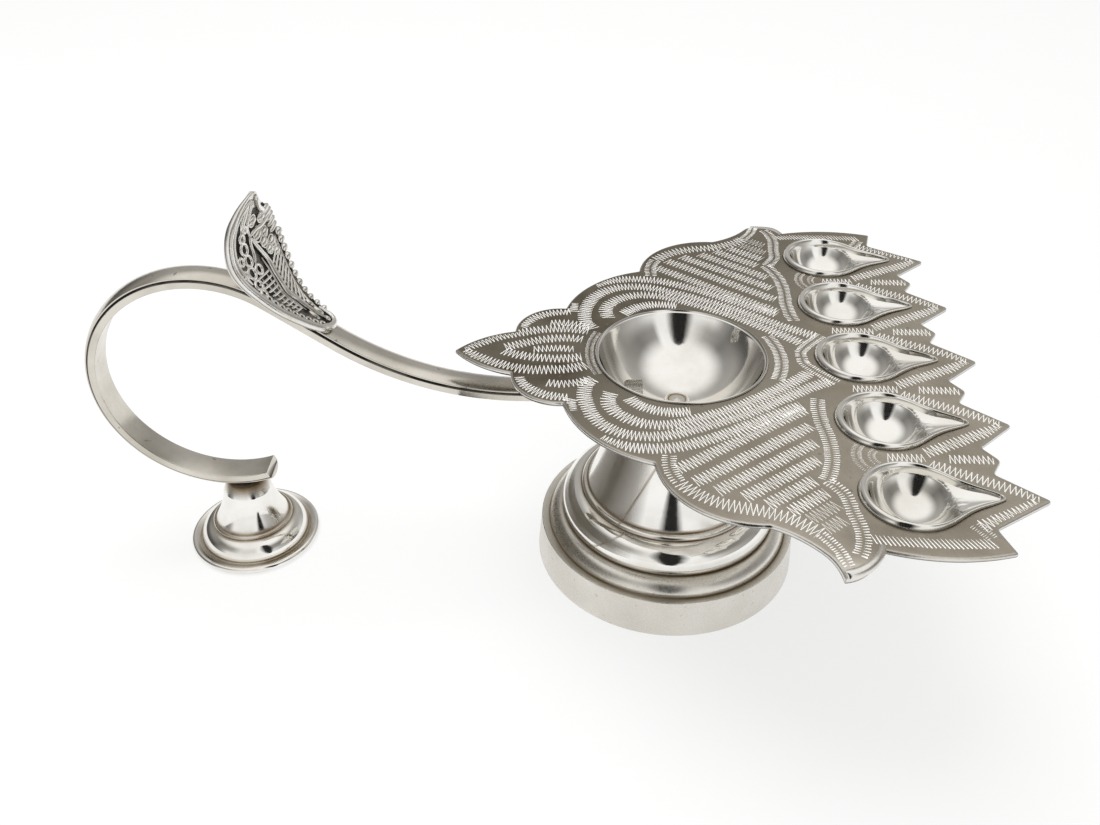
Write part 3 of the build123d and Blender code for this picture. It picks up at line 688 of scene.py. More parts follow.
def plate_mesh():
    """The plate with rounded edges, holes for bowl and cups, and curled wing tips."""
    top_line = inset(outline, EDGE_INSET)
    top_line = [(x, y - math.copysign(TIP_ROUND * min(1.0, tip_share(y)), y)) for x, y in top_line]
    bowl_hole = BOWL_WALL_RADIUS + FIT
    holes = [[on_circle(bowl_hole, 2 * math.pi * i / HOLE_STEPS) for i in range(HOLE_STEPS)]]
    cup_hole = teardrop(CUP_RADIUS - CUP_LIP_SEAT + FIT, CUP_REACH - CUP_LIP_SEAT + FIT)
    holes += [[(CUP_X + x, y + cup_y) for x, y in cup_hole] for cup_y in CUP_YS]
    loops = [top_line] + holes
    points, rims = [], []
    for loop in loops:
        rims.append((len(points), len(loop)))
        points += loop
    links = [(first + i, first + (i + 1) % count) for first, count in rims for i in range(count)]
    columns, rows = (int(size / GRID_STEP) for size in (GRID_LENGTH, GRID_WIDTH))
    grid = [(plate_low.x + GRID_STEP * i, plate_low.y + GRID_STEP * j)
            for i in range(columns) for j in range(rows)]
    keep = inside(grid, inset(outline, EDGE_INSET + GRID_EDGE_GAP))
    for hole in holes:
        keep &= ~inside(grid, inset(hole, -GRID_HOLE_GAP))
    points += [place for place, kept in zip(grid, keep) if kept]
    verts, _, faces, origins, _, _ = delaunay_2d_cdt([Vector(p) for p in points], links, [], 0, 1e-5)
    middles = [sum((verts[i] for i in face), Vector((0, 0))) / 3 for face in faces]
    wanted = inside([tuple(m) for m in middles], top_line)
    for hole in holes:
        wanted &= ~inside([tuple(m) for m in middles], hole)
    faces = [face for face, want in zip(faces, wanted) if want]
    where = {}
    for index, sources in enumerate(origins):
        for source in sources:
            where[source] = index
    count = len(verts)
    places = [(v.x, v.y, plate_level(v.y)) for v in verts]
    places += [(v.x, v.y, plate_level(v.y) - PLATE_THICKNESS - TIP_LIP * tip_share(v.y)) for v in verts]
    # Stains: lighter, smoother metal on the curled wing tips, and on the underside as a painted highlight
    marks = [min(1.0, tip_share(v.y) ** 2) for v in verts] + [UNDERSIDE_PAINTED_SHINE] * count
    out_faces = [tuple(face) for face in faces]
    out_faces += [tuple(count + i for i in reversed(face)) for face in faces]
    for first, number in rims[1:]:
        for i in range(number):
            a, b = where[first + i], where[first + (i + 1) % number]
            out_faces.append((a, b, count + b, count + a))
    rings = [[where[i] for i in range(len(outline))]]
    painted_shade = [0.0] * len(places)
    # The rounded edge takes a painted highlight high up and painted shade in a dark band low down
    for amount, drop, mark, edge_shade in EDGE_ROUND:
        ring = []
        for x, y in inset(outline, amount):
            ring.append(len(places))
            depth = PLATE_THICKNESS + TIP_LIP * tip_share(y)
            places.append((x, y, plate_level(y) - drop / EDGE_DEPTH * depth))
            marks.append(mark)
            painted_shade.append(edge_shade * random.uniform(0.75, 1.0))
        rings.append(ring)
    rings.append([count + i for i in rings[0]])
    for upper, lower in zip(rings, rings[1:]):
        for i in range(len(upper)):
            j = (i + 1) % len(upper)
            out_faces.append((upper[i], lower[i], lower[j], upper[j]))
    return piece("lamp_plate_sheet", places, out_faces, PLATE, "engraved_plate", "lamp_plate",
                 marks=marks, painted_shade=painted_shade, sharp=50.0)


plate_mesh()


ROLL_CORNER, ROLL_TIP, ROLL_RISE, ROLL_INSET = 0.8, 1.25, 0.35, 1.1
ROLL_SIDES, ROLL_STEPS, ROLL_END, ROLL_LEAST = 12, 20, 0.1, 0.05


def tip_rolls():
    """The rolled lips along the ends of the two wing tips, thicker towards each tip."""
    verts, faces, marks = [], [], []
    line = [wing_corner] + arc(wing_corner, wing_tip, -HOOK_BOW, ROLL_STEPS)
    line = [(x, y - ROLL_INSET) for x, y in line]
    for mirror in (1, -1):
        rings = []
        for index, (x, y) in enumerate(line):
            ahead = Vector(line[min(index + 1, len(line) - 1)]) - Vector(line[max(index - 1, 0)])
            across = Vector((ahead.y, -ahead.x)).normalized()
            share = index / (len(line) - 1)
            end = math.sqrt(max(0.0, 1 - max(0.0, (share - (1 - ROLL_END)) / ROLL_END) ** 2))
            size = max(ROLL_LEAST, (ROLL_CORNER + (ROLL_TIP - ROLL_CORNER) * share) * end)
            level = plate_level(y) + ROLL_RISE - size
            rings.append([len(verts) + side for side in range(ROLL_SIDES)])
            for side in range(ROLL_SIDES):
                turn = 2 * math.pi * side / ROLL_SIDES
                spot = Vector((x, y)) + across * size * math.cos(turn)
                verts.append((spot.x, mirror * spot.y, level + size * math.sin(turn)))
                marks.append(1.0)
        for here, there in zip(rings, rings[1:]):
            faces += bridge(here, there)
        faces += [tuple(reversed(rings[0])), tuple(rings[-1])]
    return piece("wing_tip_rolls", verts, faces, PLATE, "engraved_plate", marks=marks, sharp=60.0)


tip_rolls()


# Wick cups
def hollow_forms(x, y, radius, reach, depth, spout):
    """Depths of the two forms of a cup's hollow: its round bowl and its spout."""
    sphere = (radius ** 2 + depth ** 2) / (2 * depth)
    ball = max(0.0, math.sqrt(max(0.0, sphere ** 2 - x * x - y * y)) - sphere + depth)
    channel = 0.0
    if x > 0:
        slope = math.tan(math.asin((radius - CUP_TIP_RADIUS) / (reach - CUP_TIP_RADIUS)))
        width = max(0.05, (reach - x) * slope)
        channel = spout * (1 - x / reach) * max(0.0, 1 - (y / width) ** 2)
    return ball, channel


def hollow_shape(*place_and_sizes):
    """Depth of a cup's hollow, where its round bowl runs into its spout."""
    ball, channel = hollow_forms(*place_and_sizes)
    soft = SPOUT_BLEND * min(1.0, max(ball, channel))
    close = max(soft - abs(ball - channel), 0.0) / soft if soft > 0 else 0.0
    return max(ball, channel) + close * close * soft / 4


# A cup's lip from its outer foot to its hollow: inward at the round, inward at the tip, height, stain; the
# stain at the foot is a dark joint and a painted shadow under the lip
LIP_ROLL = ((0.0, 0.0, -0.05, 1.0), (0.04, 0.03, 0.25, 0.9), (0.12, 0.1, 0.6, 0.1), (0.26, 0.2, 1.0, 0.0),
            (0.46, 0.34, 1.28, 0.0), (0.68, 0.46, 1.4, 0.0), (0.88, 0.58, 1.35, 0.0), (1.06, 0.7, 1.15, 0.0),
            (1.22, 0.82, 0.82, 0.0), (1.36, 0.94, 0.38, 0.0), (1.5, 1.06, -0.12, 0.0),
            (1.62, 1.16, -0.6, 0.0))
TIP_FALL, TIP_FALL_FROM = 0.55, 7.0
SPOUT_DEPTH, SPOUT_BLEND = 1.8, 0.45
JOINT_STAIN, JOINT_REACH, JOINT_DEPTH = 0.6, 0.42, 0.45
BALL_SHIFT = 0.9
BODY_DROP = 0.05
CUP_RINGS = 30


def cup_mesh(name, node, cup_y):
    """A wick cup with a rolled lip, a round hollow and a spout that rises to its tip."""
    verts, faces, marks, rings = [], [], [], []

    def ring(points, level, mark, shift=0.0):
        rings.append([len(verts) + i for i in range(len(points))])
        for x, y in points:
            verts.append((CUP_X + x + shift, cup_y + y, PLATE_TOP + level(x, y)))
            marks.append(mark(x, y))

    def lowered(height, x):
        """A lip height that falls off towards the spout's tip."""
        share = max(0.0, (x - TIP_FALL_FROM) / (CUP_REACH - TIP_FALL_FROM))
        return height * (1 - TIP_FALL * share) if height > 0 else height

    full_inward, tip_inward, hollow_level, _ = LIP_ROLL[-1]
    hollow = (CUP_RADIUS - full_inward, CUP_REACH - tip_inward - BALL_SHIFT,
              CUP_DEPTH + hollow_level - SHEET, SPOUT_DEPTH)
    body = (CUP_RADIUS - CUP_LIP_SEAT, CUP_REACH - CUP_LIP_SEAT, CUP_DEPTH - BODY_DROP, SPOUT_DEPTH + SHEET)
    inner, outer = teardrop(*hollow[:2]), teardrop(*body[:2])

    def joint(x, y):
        """A stain along the line where the round bowl meets the spout."""
        ball, channel = hollow_forms(x, y, *hollow)
        if channel < JOINT_DEPTH:
            return 0.0
        return JOINT_STAIN * math.exp(-(((ball - channel) / JOINT_REACH) ** 2))

    for i in range(1, CUP_RINGS):
        share = math.sin(i / CUP_RINGS * math.pi / 2)
        ring([(x * share, y * share) for x, y in inner],
             lambda x, y: lowered(hollow_level, x) - hollow_shape(x, y, *hollow), joint, BALL_SHIFT)
    # The stain darkens the lip's foot: a dark joint and a painted shadow under the lip
    for inward, tip_inward, height, stain in reversed(LIP_ROLL):
        shift = BALL_SHIFT * inward / full_inward
        ring(teardrop(CUP_RADIUS - inward, CUP_REACH - tip_inward - shift),
             lambda x, y: lowered(height, x), lambda x, y: stain, shift)
    for i in range(CUP_RINGS, 0, -2):
        share = math.sin(i / CUP_RINGS * math.pi / 2)
        ring([(x * share, y * share) for x, y in outer],
             lambda x, y: -min(CUP_DEPTH, BODY_DROP + hollow_shape(x, y, *body)), lambda x, y: 0.0)
    for upper, lower in zip(rings, rings[1:]):
        faces += bridge(upper, lower)
    faces += [tuple(reversed(rings[0])), tuple(rings[-1])]
    return piece(name, verts, faces, VESSEL, "polished_metal", node, marks=marks, sharp=60.0)


for number, (node, cup_y) in enumerate(zip(CUP_NODES, CUP_YS), 1):
    cup_mesh(f"wick_cup_shell_{number}", node, cup_y)


# Engraving: rows of small bright cuts on the plate
class Cuts:
    """Collects wedge-shaped cuts, each a low ridge that stands a little out of the plate."""
    rise, sink, full_width = 0.06, 0.05, 0.25
    edge_margin, lip_margin, least_share = 0.75, 0.25, 0.45
    wedge = ((0, 3, 5, 2), (1, 2, 5, 4), (0, 2, 1), (3, 4, 5), (0, 1, 4, 3))

    def __init__(self):
        self.cuts = []

    def cut(self, start, end, start_width, end_width):
        self.cuts.append((start, end, start_width, end_width))

    def kept(self):
        """The cuts on the plate's open surface, shortened where they would reach past it."""
        field = inset(outline, self.edge_margin)
        lip = teardrop(CUP_RADIUS + self.lip_margin, CUP_REACH + self.lip_margin)
        blocks = [[(x + CUP_X, y + cup_y) for x, y in lip] for cup_y in CUP_YS]
        rim = BOWL_RIM_RADIUS + self.lip_margin
        blocks.append([on_circle(rim, i / (HOLE_STEPS // 2) * math.pi) for i in range(HOLE_STEPS)])
        starts = np.array([cut[0] for cut in self.cuts])
        ends = np.array([cut[1] for cut in self.cuts])
        shares = np.linspace(0.0, 1.0, 11)
        free = []
        for share in shares:
            places = starts + (ends - starts) * share
            good = inside(places, field)
            for block in blocks:
                good &= ~inside(places, block)
            free.append(good)
        out = []
        for (start, end, start_width, end_width), good in zip(self.cuts, np.array(free).T):
            if good.any():
                first, last = shares[good][0], shares[good][-1]
                if last - first > self.least_share:
                    start, way = Vector(start), Vector(end) - Vector(start)
                    out.append((start + way * first, start + way * last, start_width, end_width))
        return out

    def make(self):
        verts, faces = [], []
        for start, end, start_width, end_width in self.kept():
            way = (end - start).normalized()
            side = Vector((-way.y, way.x))
            base = len(verts)
            for place, width in ((start, start_width), (end, end_width)):
                level = plate_level(place.y)
                low, high = level - self.sink, level + self.rise * min(1.0, width / self.full_width)
                left, right = place + side * width / 2, place - side * width / 2
                verts += [(left.x, left.y, low), (right.x, right.y, low), (place.x, place.y, high)]
            faces += [tuple(base + i for i in face) for face in self.wedge]
        return piece("bright_cut_rows", verts, faces, CUT, "engraved_plate", sharp=15.0)


def curve_through(points, step):
    """Evenly spaced (place, direction) pairs along a smooth line through the points."""
    line = []
    ends = [2 * Vector(points[0]) - Vector(points[1])] + [Vector(p) for p in points]
    ends.append(2 * Vector(points[-1]) - Vector(points[-2]))
    for a, b, c, d in zip(ends, ends[1:], ends[2:], ends[3:]):
        for i in range(12):
            t = i / 12
            bend = 2 * b + (c - a) * t + (2 * a - 5 * b + 4 * c - d) * t * t
            line.append(0.5 * (bend + (3 * b - a - 3 * c + d) * t ** 3))
    line.append(ends[-2])
    out, rest = [], 0.0
    for a, b in zip(line, line[1:]):
        length = (b - a).length
        while rest <= length and length > 0:
            out.append((a.lerp(b, rest / length), (b - a).normalized()))
            rest += step
        rest -= length
    return out


cuts = Cuts()
ROW_HEIGHT, ROW_PITCH = 1.24, 0.95


def zigzag(points, length=2.6, pitch=0.5, thick=0.44, thin=0.16):
    """A row of cuts from side to side, each broad where it starts and fine where it ends."""
    last = None
    for index, (place, way) in enumerate(curve_through(points, pitch * ROW_PITCH)):
        reach = (0.5 if index % 2 else -0.5) * length * ROW_HEIGHT
        side = Vector((-way.y, way.x)) * reach * random.uniform(0.9, 1.06)
        here = place + side + way * random.uniform(-0.05, 0.05)
        if last is not None:
            cuts.cut(tuple(last), tuple(here), thick * random.uniform(0.85, 1.1), thin)
        last = here


def wedges(points, length=3.0, pitch=0.62, thick=0.52):
    """A double row of short wedges that are broad outside and fine in the middle of the row."""
    for place, way in curve_through(points, pitch):
        for sign in (-1, 1):
            side = Vector((-way.y, way.x)) * sign
            outer = place + side * length * random.uniform(0.46, 0.53)
            middle = place + side * length * 0.08 + way * 0.12 * sign
            cuts.cut(tuple(outer), tuple(middle), thick * random.uniform(0.8, 1.15), thick * 0.4)


def slashes(points, length=2.6, pitch=0.8, thick=0.5, lean=0.55):
    """A row of slanted strokes, each fine on the row's left and broad on its right."""
    for place, way in curve_through(points, pitch):
        side = Vector((-way.y, way.x)) * 0.5 * length * random.uniform(0.9, 1.08) - way * lean
        cuts.cut(tuple(place - side), tuple(place + side), thick * random.uniform(0.85, 1.1), thick * 0.4)


def round_row(centre, radius, start, end, count=9):
    """Points of a round row between two angles in degrees."""
    turns = [math.radians(start + (end - start) * i / (count - 1)) for i in range(count)]
    return [on_circle(radius, turn, centre) for turn in turns]


def both_sides(draw, points, *sizes):
    """The same row on both halves of the plate."""
    draw(points, *sizes)
    draw([(x, -y) for x, y in points], *sizes)


# tail
zigzag([(-50.0, 0.6), (-47, 3.0), (-44, 5.1), (-40, 7.1), (-36, 8.5), (-32, 9.8), (-28, 10.4), (-24, 10.1),
        (-21, 9.2)], 2.8)
zigzag([(-40.6, 1.4), (-37, 3.2), (-33, 4.9), (-29, 5.9), (-25, 6.2), (-22.2, 5.4)])
zigzag([(-34, 0.7), (-31, 1.4), (-28, 1.6), (-24.3, 1.3)], 2.2)
zigzag([(-40.8, 0.0), (-38, -1.3), (-34, -2.4), (-30, -2.8), (-26, -2.6), (-22.6, -1.8)])
zigzag([(-50.0, -0.6), (-47, -2.6), (-44, -4.4), (-40, -6.3), (-36, -7.4), (-32, -7.6), (-28, -7.2),
        (-24, -6.3), (-21.6, -5.1)], 2.8)
wedges(round_row((0, 0), 21.1, 155, 205), 1.9, 0.42, 0.26)
wedges(round_row((0, 0), 22.7, -24, 24), 3.1, 0.62)
# side lobes
both_sides(zigzag, [(-37.2, 10.6), (-36.2, 13), (-33.8, 15.6), (-31, 17.2), (-28, 18.1), (-25.6, 18.3)],
           2.5, 0.46)
both_sides(zigzag, [(-30.5, 12.7), (-27, 13.0), (-23.8, 12.3), (-21.2, 11.2)], 2.3)
both_sides(zigzag, [(-25.2, 18.4), (-25.5, 21), (-24.5, 25), (-22.2, 29.3), (-19, 32.5), (-15, 34.5),
                    (-10.5, 35.4), (-6, 35.2), (-3, 34.6), (0, 33.5), (5, 31.1), (10, 28.1), (15, 25),
                    (20, 21.8), (24.8, 18.9)], 2.7, 0.45)
both_sides(zigzag, [(-20.2, 10.6), (-21.8, 13), (-22.2, 17), (-21.6, 21), (-20.2, 25), (-17.5, 28.5),
                    (-14, 30.6), (-10, 31.4), (-6, 31.1), (-2, 29.7), (3, 27.3), (10, 23.8), (15, 20.8),
                    (20, 17.3), (25, 13.7), (30, 10.7), (32.6, 9.4)], 2.7, 0.45)
both_sides(zigzag, [(-16.4, 15.8), (-17.1, 19), (-16, 22.4), (-13.5, 25), (-10, 26.9), (-6, 27.3), (-2, 26.5),
                    (3, 24.3), (10, 20.5), (15, 17.1), (20, 13.3), (25, 9.3), (28.6, 5.8)], 2.7, 0.45)
both_sides(zigzag, [(-12.6, 17.8), (-10.6, 20.2), (-7.5, 22), (-4, 22.7), (0.8, 22.2)], 2.6, 0.38)
# wings: slanted rows given by their offset from the origin and the x where they start and end
WING_SLOPE = math.radians(37.0)
SLANT_LEAD, FINE_FROM, BROAD_CUT, FINE_CUT = 1.3, 55.0, 0.42, 0.24
SLANT_ROWS = ((31.3, -2.3, 25.0), (36.2, 0.7, 25.2), (40.7, 4.8, 25.4), (45.0, 9.8, 25.0), (49.1, 14.0, 23.3),
              (53.0, 18.0, 25.0), (56.6, 21.2, 26.0), (60.2, 23.8, 26.6))
for offset, start, end in SLANT_ROWS:
    start -= SLANT_LEAD
    row_points = [(x, (offset - x * math.sin(WING_SLOPE)) / math.cos(WING_SLOPE))
                  for x in (start, start * 0.66 + end * 0.34, start * 0.33 + end * 0.67, end)]
    both_sides(zigzag, row_points, 2.6, 0.5, BROAD_CUT if offset < FINE_FROM else FINE_CUT)
both_sides(wedges, [(-5.1, 37.6), (-5.2, 41), (-4.5, 44), (-3.4, 46.2)], 3.0, 0.75)
both_sides(zigzag, [(-3.4, 46.2), (-0.8, 49), (2, 50.9), (5, 52.2), (8, 53), (11, 53.6), (14, 54.6),
                    (17, 56.1), (20, 58.2), (21.4, 59.8)], 2.8, 0.58)
both_sides(wedges, [(21.4, 59.8), (22.6, 61.6), (23.8, 63.8), (24.5, 66), (24.9, 67.4)], 2.4, 0.6)
both_sides(wedges, [(28.3, 16.6), (27.7, 20), (27.6, 25), (28, 30), (27.9, 35), (27.2, 39), (26, 42.6),
                    (24.9, 44.6)], 3.2, 0.72)
both_sides(wedges, [(25.6, 44.4), (27, 46.4), (28.2, 49), (28.5, 53), (29, 57), (29, 60), (28.3, 63.2),
                    (27.2, 65.4)], 2.9, 0.72)
both_sides(wedges, [(27.5, 0.5), (27.7, 2.4), (29.3, 4.9), (31.4, 7.4), (33.6, 9.8)], 2.7, 0.6)
# crown: a row along each side of a tooth, and rows and fans between the cups
TOOTH_ROW_X, OUTER_ROW_X, TOOTH_ROW_SPREAD, TOOTH_ROW_SLOPE = 46.8, 51.6, 10.5, 0.54
TOOTH_ROW_END = ((58, 4.45), (65.3, 0.6))
FAN_X, INNER_ROW_X = 38.6, 36.6
for cup_y in CUP_YS:
    for side in (-1, 1):
        first = OUTER_ROW_X if abs(cup_y + side) > CROWN_HALF else TOOTH_ROW_X
        row = ((first, TOOTH_ROW_SPREAD - (first - TOOTH_ROW_X) * TOOTH_ROW_SLOPE), *TOOTH_ROW_END)
        zigzag([(x, cup_y + side * across) for x, across in row], 2.5, 0.55)
for cup_y in CUP_YS[:-1]:
    middle = cup_y - CUP_PITCH / 2
    outer_gap = abs(middle) > CUP_PITCH
    zigzag([(x, middle) for x in (51.0, 56.0, 60.4)], 2.3, 0.5)
    zigzag([(x, middle) for x in (FAN_X if outer_gap else INNER_ROW_X, 42.0, 46.6)], 2.2, 0.5)
    if outer_gap:
        wedges(round_row((FAN_X, middle), 6.0, 138, 222), 2.1, 0.45, 0.26)
        wedges(round_row((FAN_X, middle), 3.0, 130, 230), 1.5, 0.45, 0.26)
both_sides(wedges, [(50.4, 56.2), (51.6, 58.0), (52.8, 60.0)], 2.6, 0.5, 0.3)
both_sides(slashes, [(30.8, 60.7), (33, 61.0), (38, 61.3), (45, 61.5), (53.0, 61.1)], 2.5, 0.8)
cuts.make()

# Thumb leaf: a curled sheet with cast ridges, beads and rings on its front
LEAF_SPINE = ((2.0, 2.4), (5.0, 2.4), (9.0, 2.6), (13.0, 3.3), (18.0, 5.0), (22.5, 7.1), (26.0, 9.7),
              (28.6, 13.0), (30.3, 17.0), (31.2, 20.7))
LEAF_NEAR = ((0.0, 2.6), (0.06, 4.2), (0.2, 6.6), (0.35, 8.6), (0.5, 9.7), (0.63, 10.4), (0.75, 9.4),
             (0.85, 7.2), (0.93, 3.9), (1.0, 0.4))
LEAF_FAR = ((0.0, 2.4), (0.06, 3.2), (0.2, 4.5), (0.35, 7.2), (0.5, 10.1), (0.63, 11.3), (0.75, 10.2),
            (0.85, 6.6), (0.93, 2.9), (1.0, 0.4))
LEAF_TWIST = ((0.0, 0.0), (0.3, 0.2), (0.5, 1.15), (0.7, 1.9), (0.85, 1.7), (1.0, 0.5))
LEAF_THICKNESS, LEAF_STEP = 1.2, 0.3


def smooth_through(points):
    """A smooth function through (place, value) points."""
    places, values = (np.array(column, float) for column in zip(*points))
    slopes = np.gradient(values, places)

    def value(place):
        i = int(np.clip(np.searchsorted(places, place) - 1, 0, len(places) - 2))
        width = places[i + 1] - places[i]
        t = (place - places[i]) / width
        return float((1 + 2 * t) * (1 - t) ** 2 * values[i] + t * (1 - t) ** 2 * width * slopes[i]
                     + t * t * (3 - 2 * t) * values[i + 1] + t * t * (t - 1) * width * slopes[i + 1])
    return value


leaf_way = [0.0]
for first, second in zip(LEAF_SPINE, LEAF_SPINE[1:]):
    leaf_way.append(leaf_way[-1] + math.dist(first, second))
LEAF_LENGTH = leaf_way[-1]
leaf_run = smooth_through([(way, point[0]) for way, point in zip(leaf_way, LEAF_SPINE)])
leaf_rise = smooth_through([(way, point[1]) for way, point in zip(leaf_way, LEAF_SPINE)])
leaf_near, leaf_far, leaf_twist = (smooth_through(table) for table in (LEAF_NEAR, LEAF_FAR, LEAF_TWIST))
RUN_START = Vector((-HANDLE_LEVEL_RUN - HANDLE_SWEEP_RADIUS * math.sin(HANDLE_RISE), 0.0,
                    NECK_TOP + STRIP_THICKNESS + HANDLE_SWEEP_RADIUS * (1 - math.cos(HANDLE_RISE))))
RUN_AHEAD = Vector((-math.cos(HANDLE_RISE), 0.0, math.sin(HANDLE_RISE)))
RUN_OUT = Vector((math.sin(HANDLE_RISE), 0.0, math.cos(HANDLE_RISE)))


def leaf_half(along, across):
    """Half width of the leaf on the side of a place: towards the camera where across is negative."""
    share = min(1.0, max(0.0, along / LEAF_LENGTH))
    return leaf_near(share) if across < 0 else leaf_far(share)


def leaf_out(along):
    """Direction out of the leaf's front."""
    run = leaf_run(along + LEAF_STEP) - leaf_run(along - LEAF_STEP)
    rise = leaf_rise(along + LEAF_STEP) - leaf_rise(along - LEAF_STEP)
    return (RUN_OUT * run - RUN_AHEAD * rise).normalized()


def leaf_place(along, across, lift=0.0):
    """A place on the leaf's front, from its distance along and across, or above it by lift."""
    twist = leaf_twist(along / LEAF_LENGTH) * across / leaf_half(along, across)
    place = RUN_START + RUN_AHEAD * leaf_run(along) + RUN_OUT * leaf_rise(along)
    return place + leaf_out(along) * (twist + lift) + Vector((0.0, across, 0.0))


class Casting:
    """Collects the leaf's sheet and the relief on it."""
    # The lower halves of ridges, rings and beads are darkened as painted shade
    sides, low_mark = 8, 0.7
    tip_polish, tip_thickness, tip_growth = 4.5, 0.35, 2.0
    bead_rows, bead_columns = 7, 12

    def __init__(self):
        self.verts, self.faces, self.marks = [], [], []

    def sheet(self, rows=56, columns=24):
        """The leaf's body, dark on its front."""
        grid = {}
        for side, lift, mark in (("front", 0.0, 1.0), ("back", -LEAF_THICKNESS, 0.0)):
            for row in range(rows + 1):
                along = LEAF_LENGTH * row / rows
                thin = min(1.0, self.tip_thickness + self.tip_growth * (1 - row / rows))
                for column in range(columns + 1):
                    share = 2 * column / columns - 1
                    grid[side, row, column] = len(self.verts)
                    self.verts.append(leaf_place(along, share * leaf_half(along, share), lift * thin))
                    self.marks.append(mark * (along < LEAF_LENGTH - self.tip_polish))
        for row in range(rows):
            for column in range(columns):
                corners = ((row, column), (row, column + 1), (row + 1, column + 1), (row + 1, column))
                self.faces.append(tuple(grid[("front", *corner)] for corner in corners))
                self.faces.append(tuple(grid[("back", *corner)] for corner in reversed(corners)))
        edge = [(row, 0) for row in range(rows)] + [(rows, column) for column in range(columns)]
        edge += [(row, columns) for row in range(rows, 0, -1)]
        edge += [(0, column) for column in range(columns, 0, -1)]
        front, back = ([grid[(side, *corner)] for corner in edge] for side in ("front", "back"))
        self.faces += bridge(front, back)

    def strand(self, points, radius, lift=0.1, ends=(0.5, 0.5), step=0.45, closed=False):
        """A ridge along (along, across) points, its lower half darkened as painted shade; ends are the shares
        of its radius at its two ends.
        """
        line = [place for place, _ in curve_through(points, step)]
        if closed:
            line = line[:-1]
        count = len(line)
        places = [leaf_place(p.x, p.y, lift) for p in line]
        rings = []
        for index, place in enumerate(places):
            ahead = places[(index + 1) % count if closed else min(count - 1, index + 1)]
            behind = places[index - 1 if closed or index else 0]
            out = leaf_out(line[index].x)
            across = (ahead - behind).cross(out).normalized()
            share = index / max(1, count - 1)
            growth = min(1.0, ends[0] + 4 * share, ends[1] + 4 * (1 - share))
            size = radius * (1.0 if closed else growth)
            rings.append([len(self.verts) + side for side in range(self.sides)])
            for side in range(self.sides):
                turn = 2 * math.pi * side / self.sides
                self.verts.append(place + across * size * math.cos(turn) + out * size * math.sin(turn))
                self.marks.append(0.0 if math.sin(turn) > -0.1 else self.low_mark)
        for here, there in zip(rings, rings[1:] + rings[:1] if closed else rings[1:]):
            self.faces += bridge(here, there)
        if not closed:
            self.faces += [tuple(reversed(rings[0])), tuple(rings[-1])]

    def ring(self, along, across, radius, thick):
        """A small ring around a dark middle."""
        turns = [math.radians(turn) for turn in range(0, 361, 30)]
        self.strand([on_circle(radius, turn, (along, across)) for turn in turns], thick, closed=True,
                    step=radius * 0.5)

    def bead(self, along, across, length, width, height, turn=0.0):
        """A rounded boss, its foot darkened as painted shade; turn is the angle of its length from the leaf's
        own length.
        """
        rings = []
        last = self.bead_rows - 1
        for row in range(self.bead_rows):
            tilt = math.pi / 2 - math.pi * row / last
            rings.append([])
            for column in range(self.bead_columns if 0 < row < last else 1):
                angle = 2 * math.pi * column / self.bead_columns
                a = length * math.cos(tilt) * math.cos(angle)
                b = width * math.cos(tilt) * math.sin(angle)
                rings[-1].append(len(self.verts))
                self.verts.append(leaf_place(along + a * math.cos(turn) - b * math.sin(turn),
                                             across + a * math.sin(turn) + b * math.cos(turn),
                                             height * math.sin(tilt)))
                self.marks.append(0.0 if row < last - 2 else self.low_mark)
        for upper, lower in zip(rings, rings[1:]):
            for column in range(self.bead_columns):
                other = (column + 1) % self.bead_columns
                corners = [upper[column % len(upper)], upper[other % len(upper)],
                           lower[other % len(lower)], lower[column % len(lower)]]
                self.faces.append(tuple(dict.fromkeys(corners)))

    def make(self):
        return piece("leaf_casting", [tuple(v) for v in self.verts], self.faces, CAST, "cast_metal",
                     "thumb_leaf", marks=self.marks, sharp=60.0)


leaf = Casting()
leaf.sheet()
# polished rim of the near side, around the low end, with a second ridge inside it near the tip
RIM_POINTS, RIM_INSET = 16, 0.97
rim = [(4.6, 2.8), (1.6, 2.5), (0.4, 1.4), (0.1, 0.0), (0.4, -1.6), (1.4, -2.9)]
for i in range(1, RIM_POINTS):
    along = LEAF_LENGTH * i / RIM_POINTS
    rim.append((along, -leaf_half(along, -1) * RIM_INSET))
leaf.strand(rim + [(LEAF_LENGTH - 0.3, -0.2)], 0.95, ends=(0.4, 0.3), lift=-0.1)
second = [(a, 1.9 - leaf_half(a, -1)) for a in (20.0, 23.0, 26.0, 29.0, 31.5, 33.5)]
leaf.strand(second + [(36.2, -0.3)], 0.5)
leaf.bead(32.6, -2.3, 3.2, 0.8, 0.6, 0.45)
leaf.strand([(30.9, 6.4), (33.0, 3.6), (35.2, 1.9), (37.4, 0.4)], 0.7)
# beads along the far edge, and slanted lobes above them
BEADS_FROM, BEADS_TO, BEAD_COUNT, BEAD_SIZE, BEAD_GROWTH = 3.4, 22.6, 11, 0.8, 0.36
LOBES_FROM, LOBE_PITCH, LOBE_COUNT = 24.6, 1.65, 5
for i in range(BEAD_COUNT):
    along = BEADS_FROM + (BEADS_TO - BEADS_FROM) * i / (BEAD_COUNT - 1)
    size = BEAD_SIZE + BEAD_GROWTH * i / (BEAD_COUNT - 1)
    leaf.bead(along, leaf_half(along, 1) - 0.2 * size, size, size, size)
for i in range(LOBE_COUNT):
    along = LOBES_FROM + LOBE_PITCH * i
    leaf.bead(along, leaf_half(along, 1) - 1.6, 0.75, 2.1, 0.9, -0.3)
leaf.strand([(a, leaf_half(a, 1) - 2.1) for a in (4.0, 8.0, 12.0, 16.0, 20.0, 23.0)], 0.3)
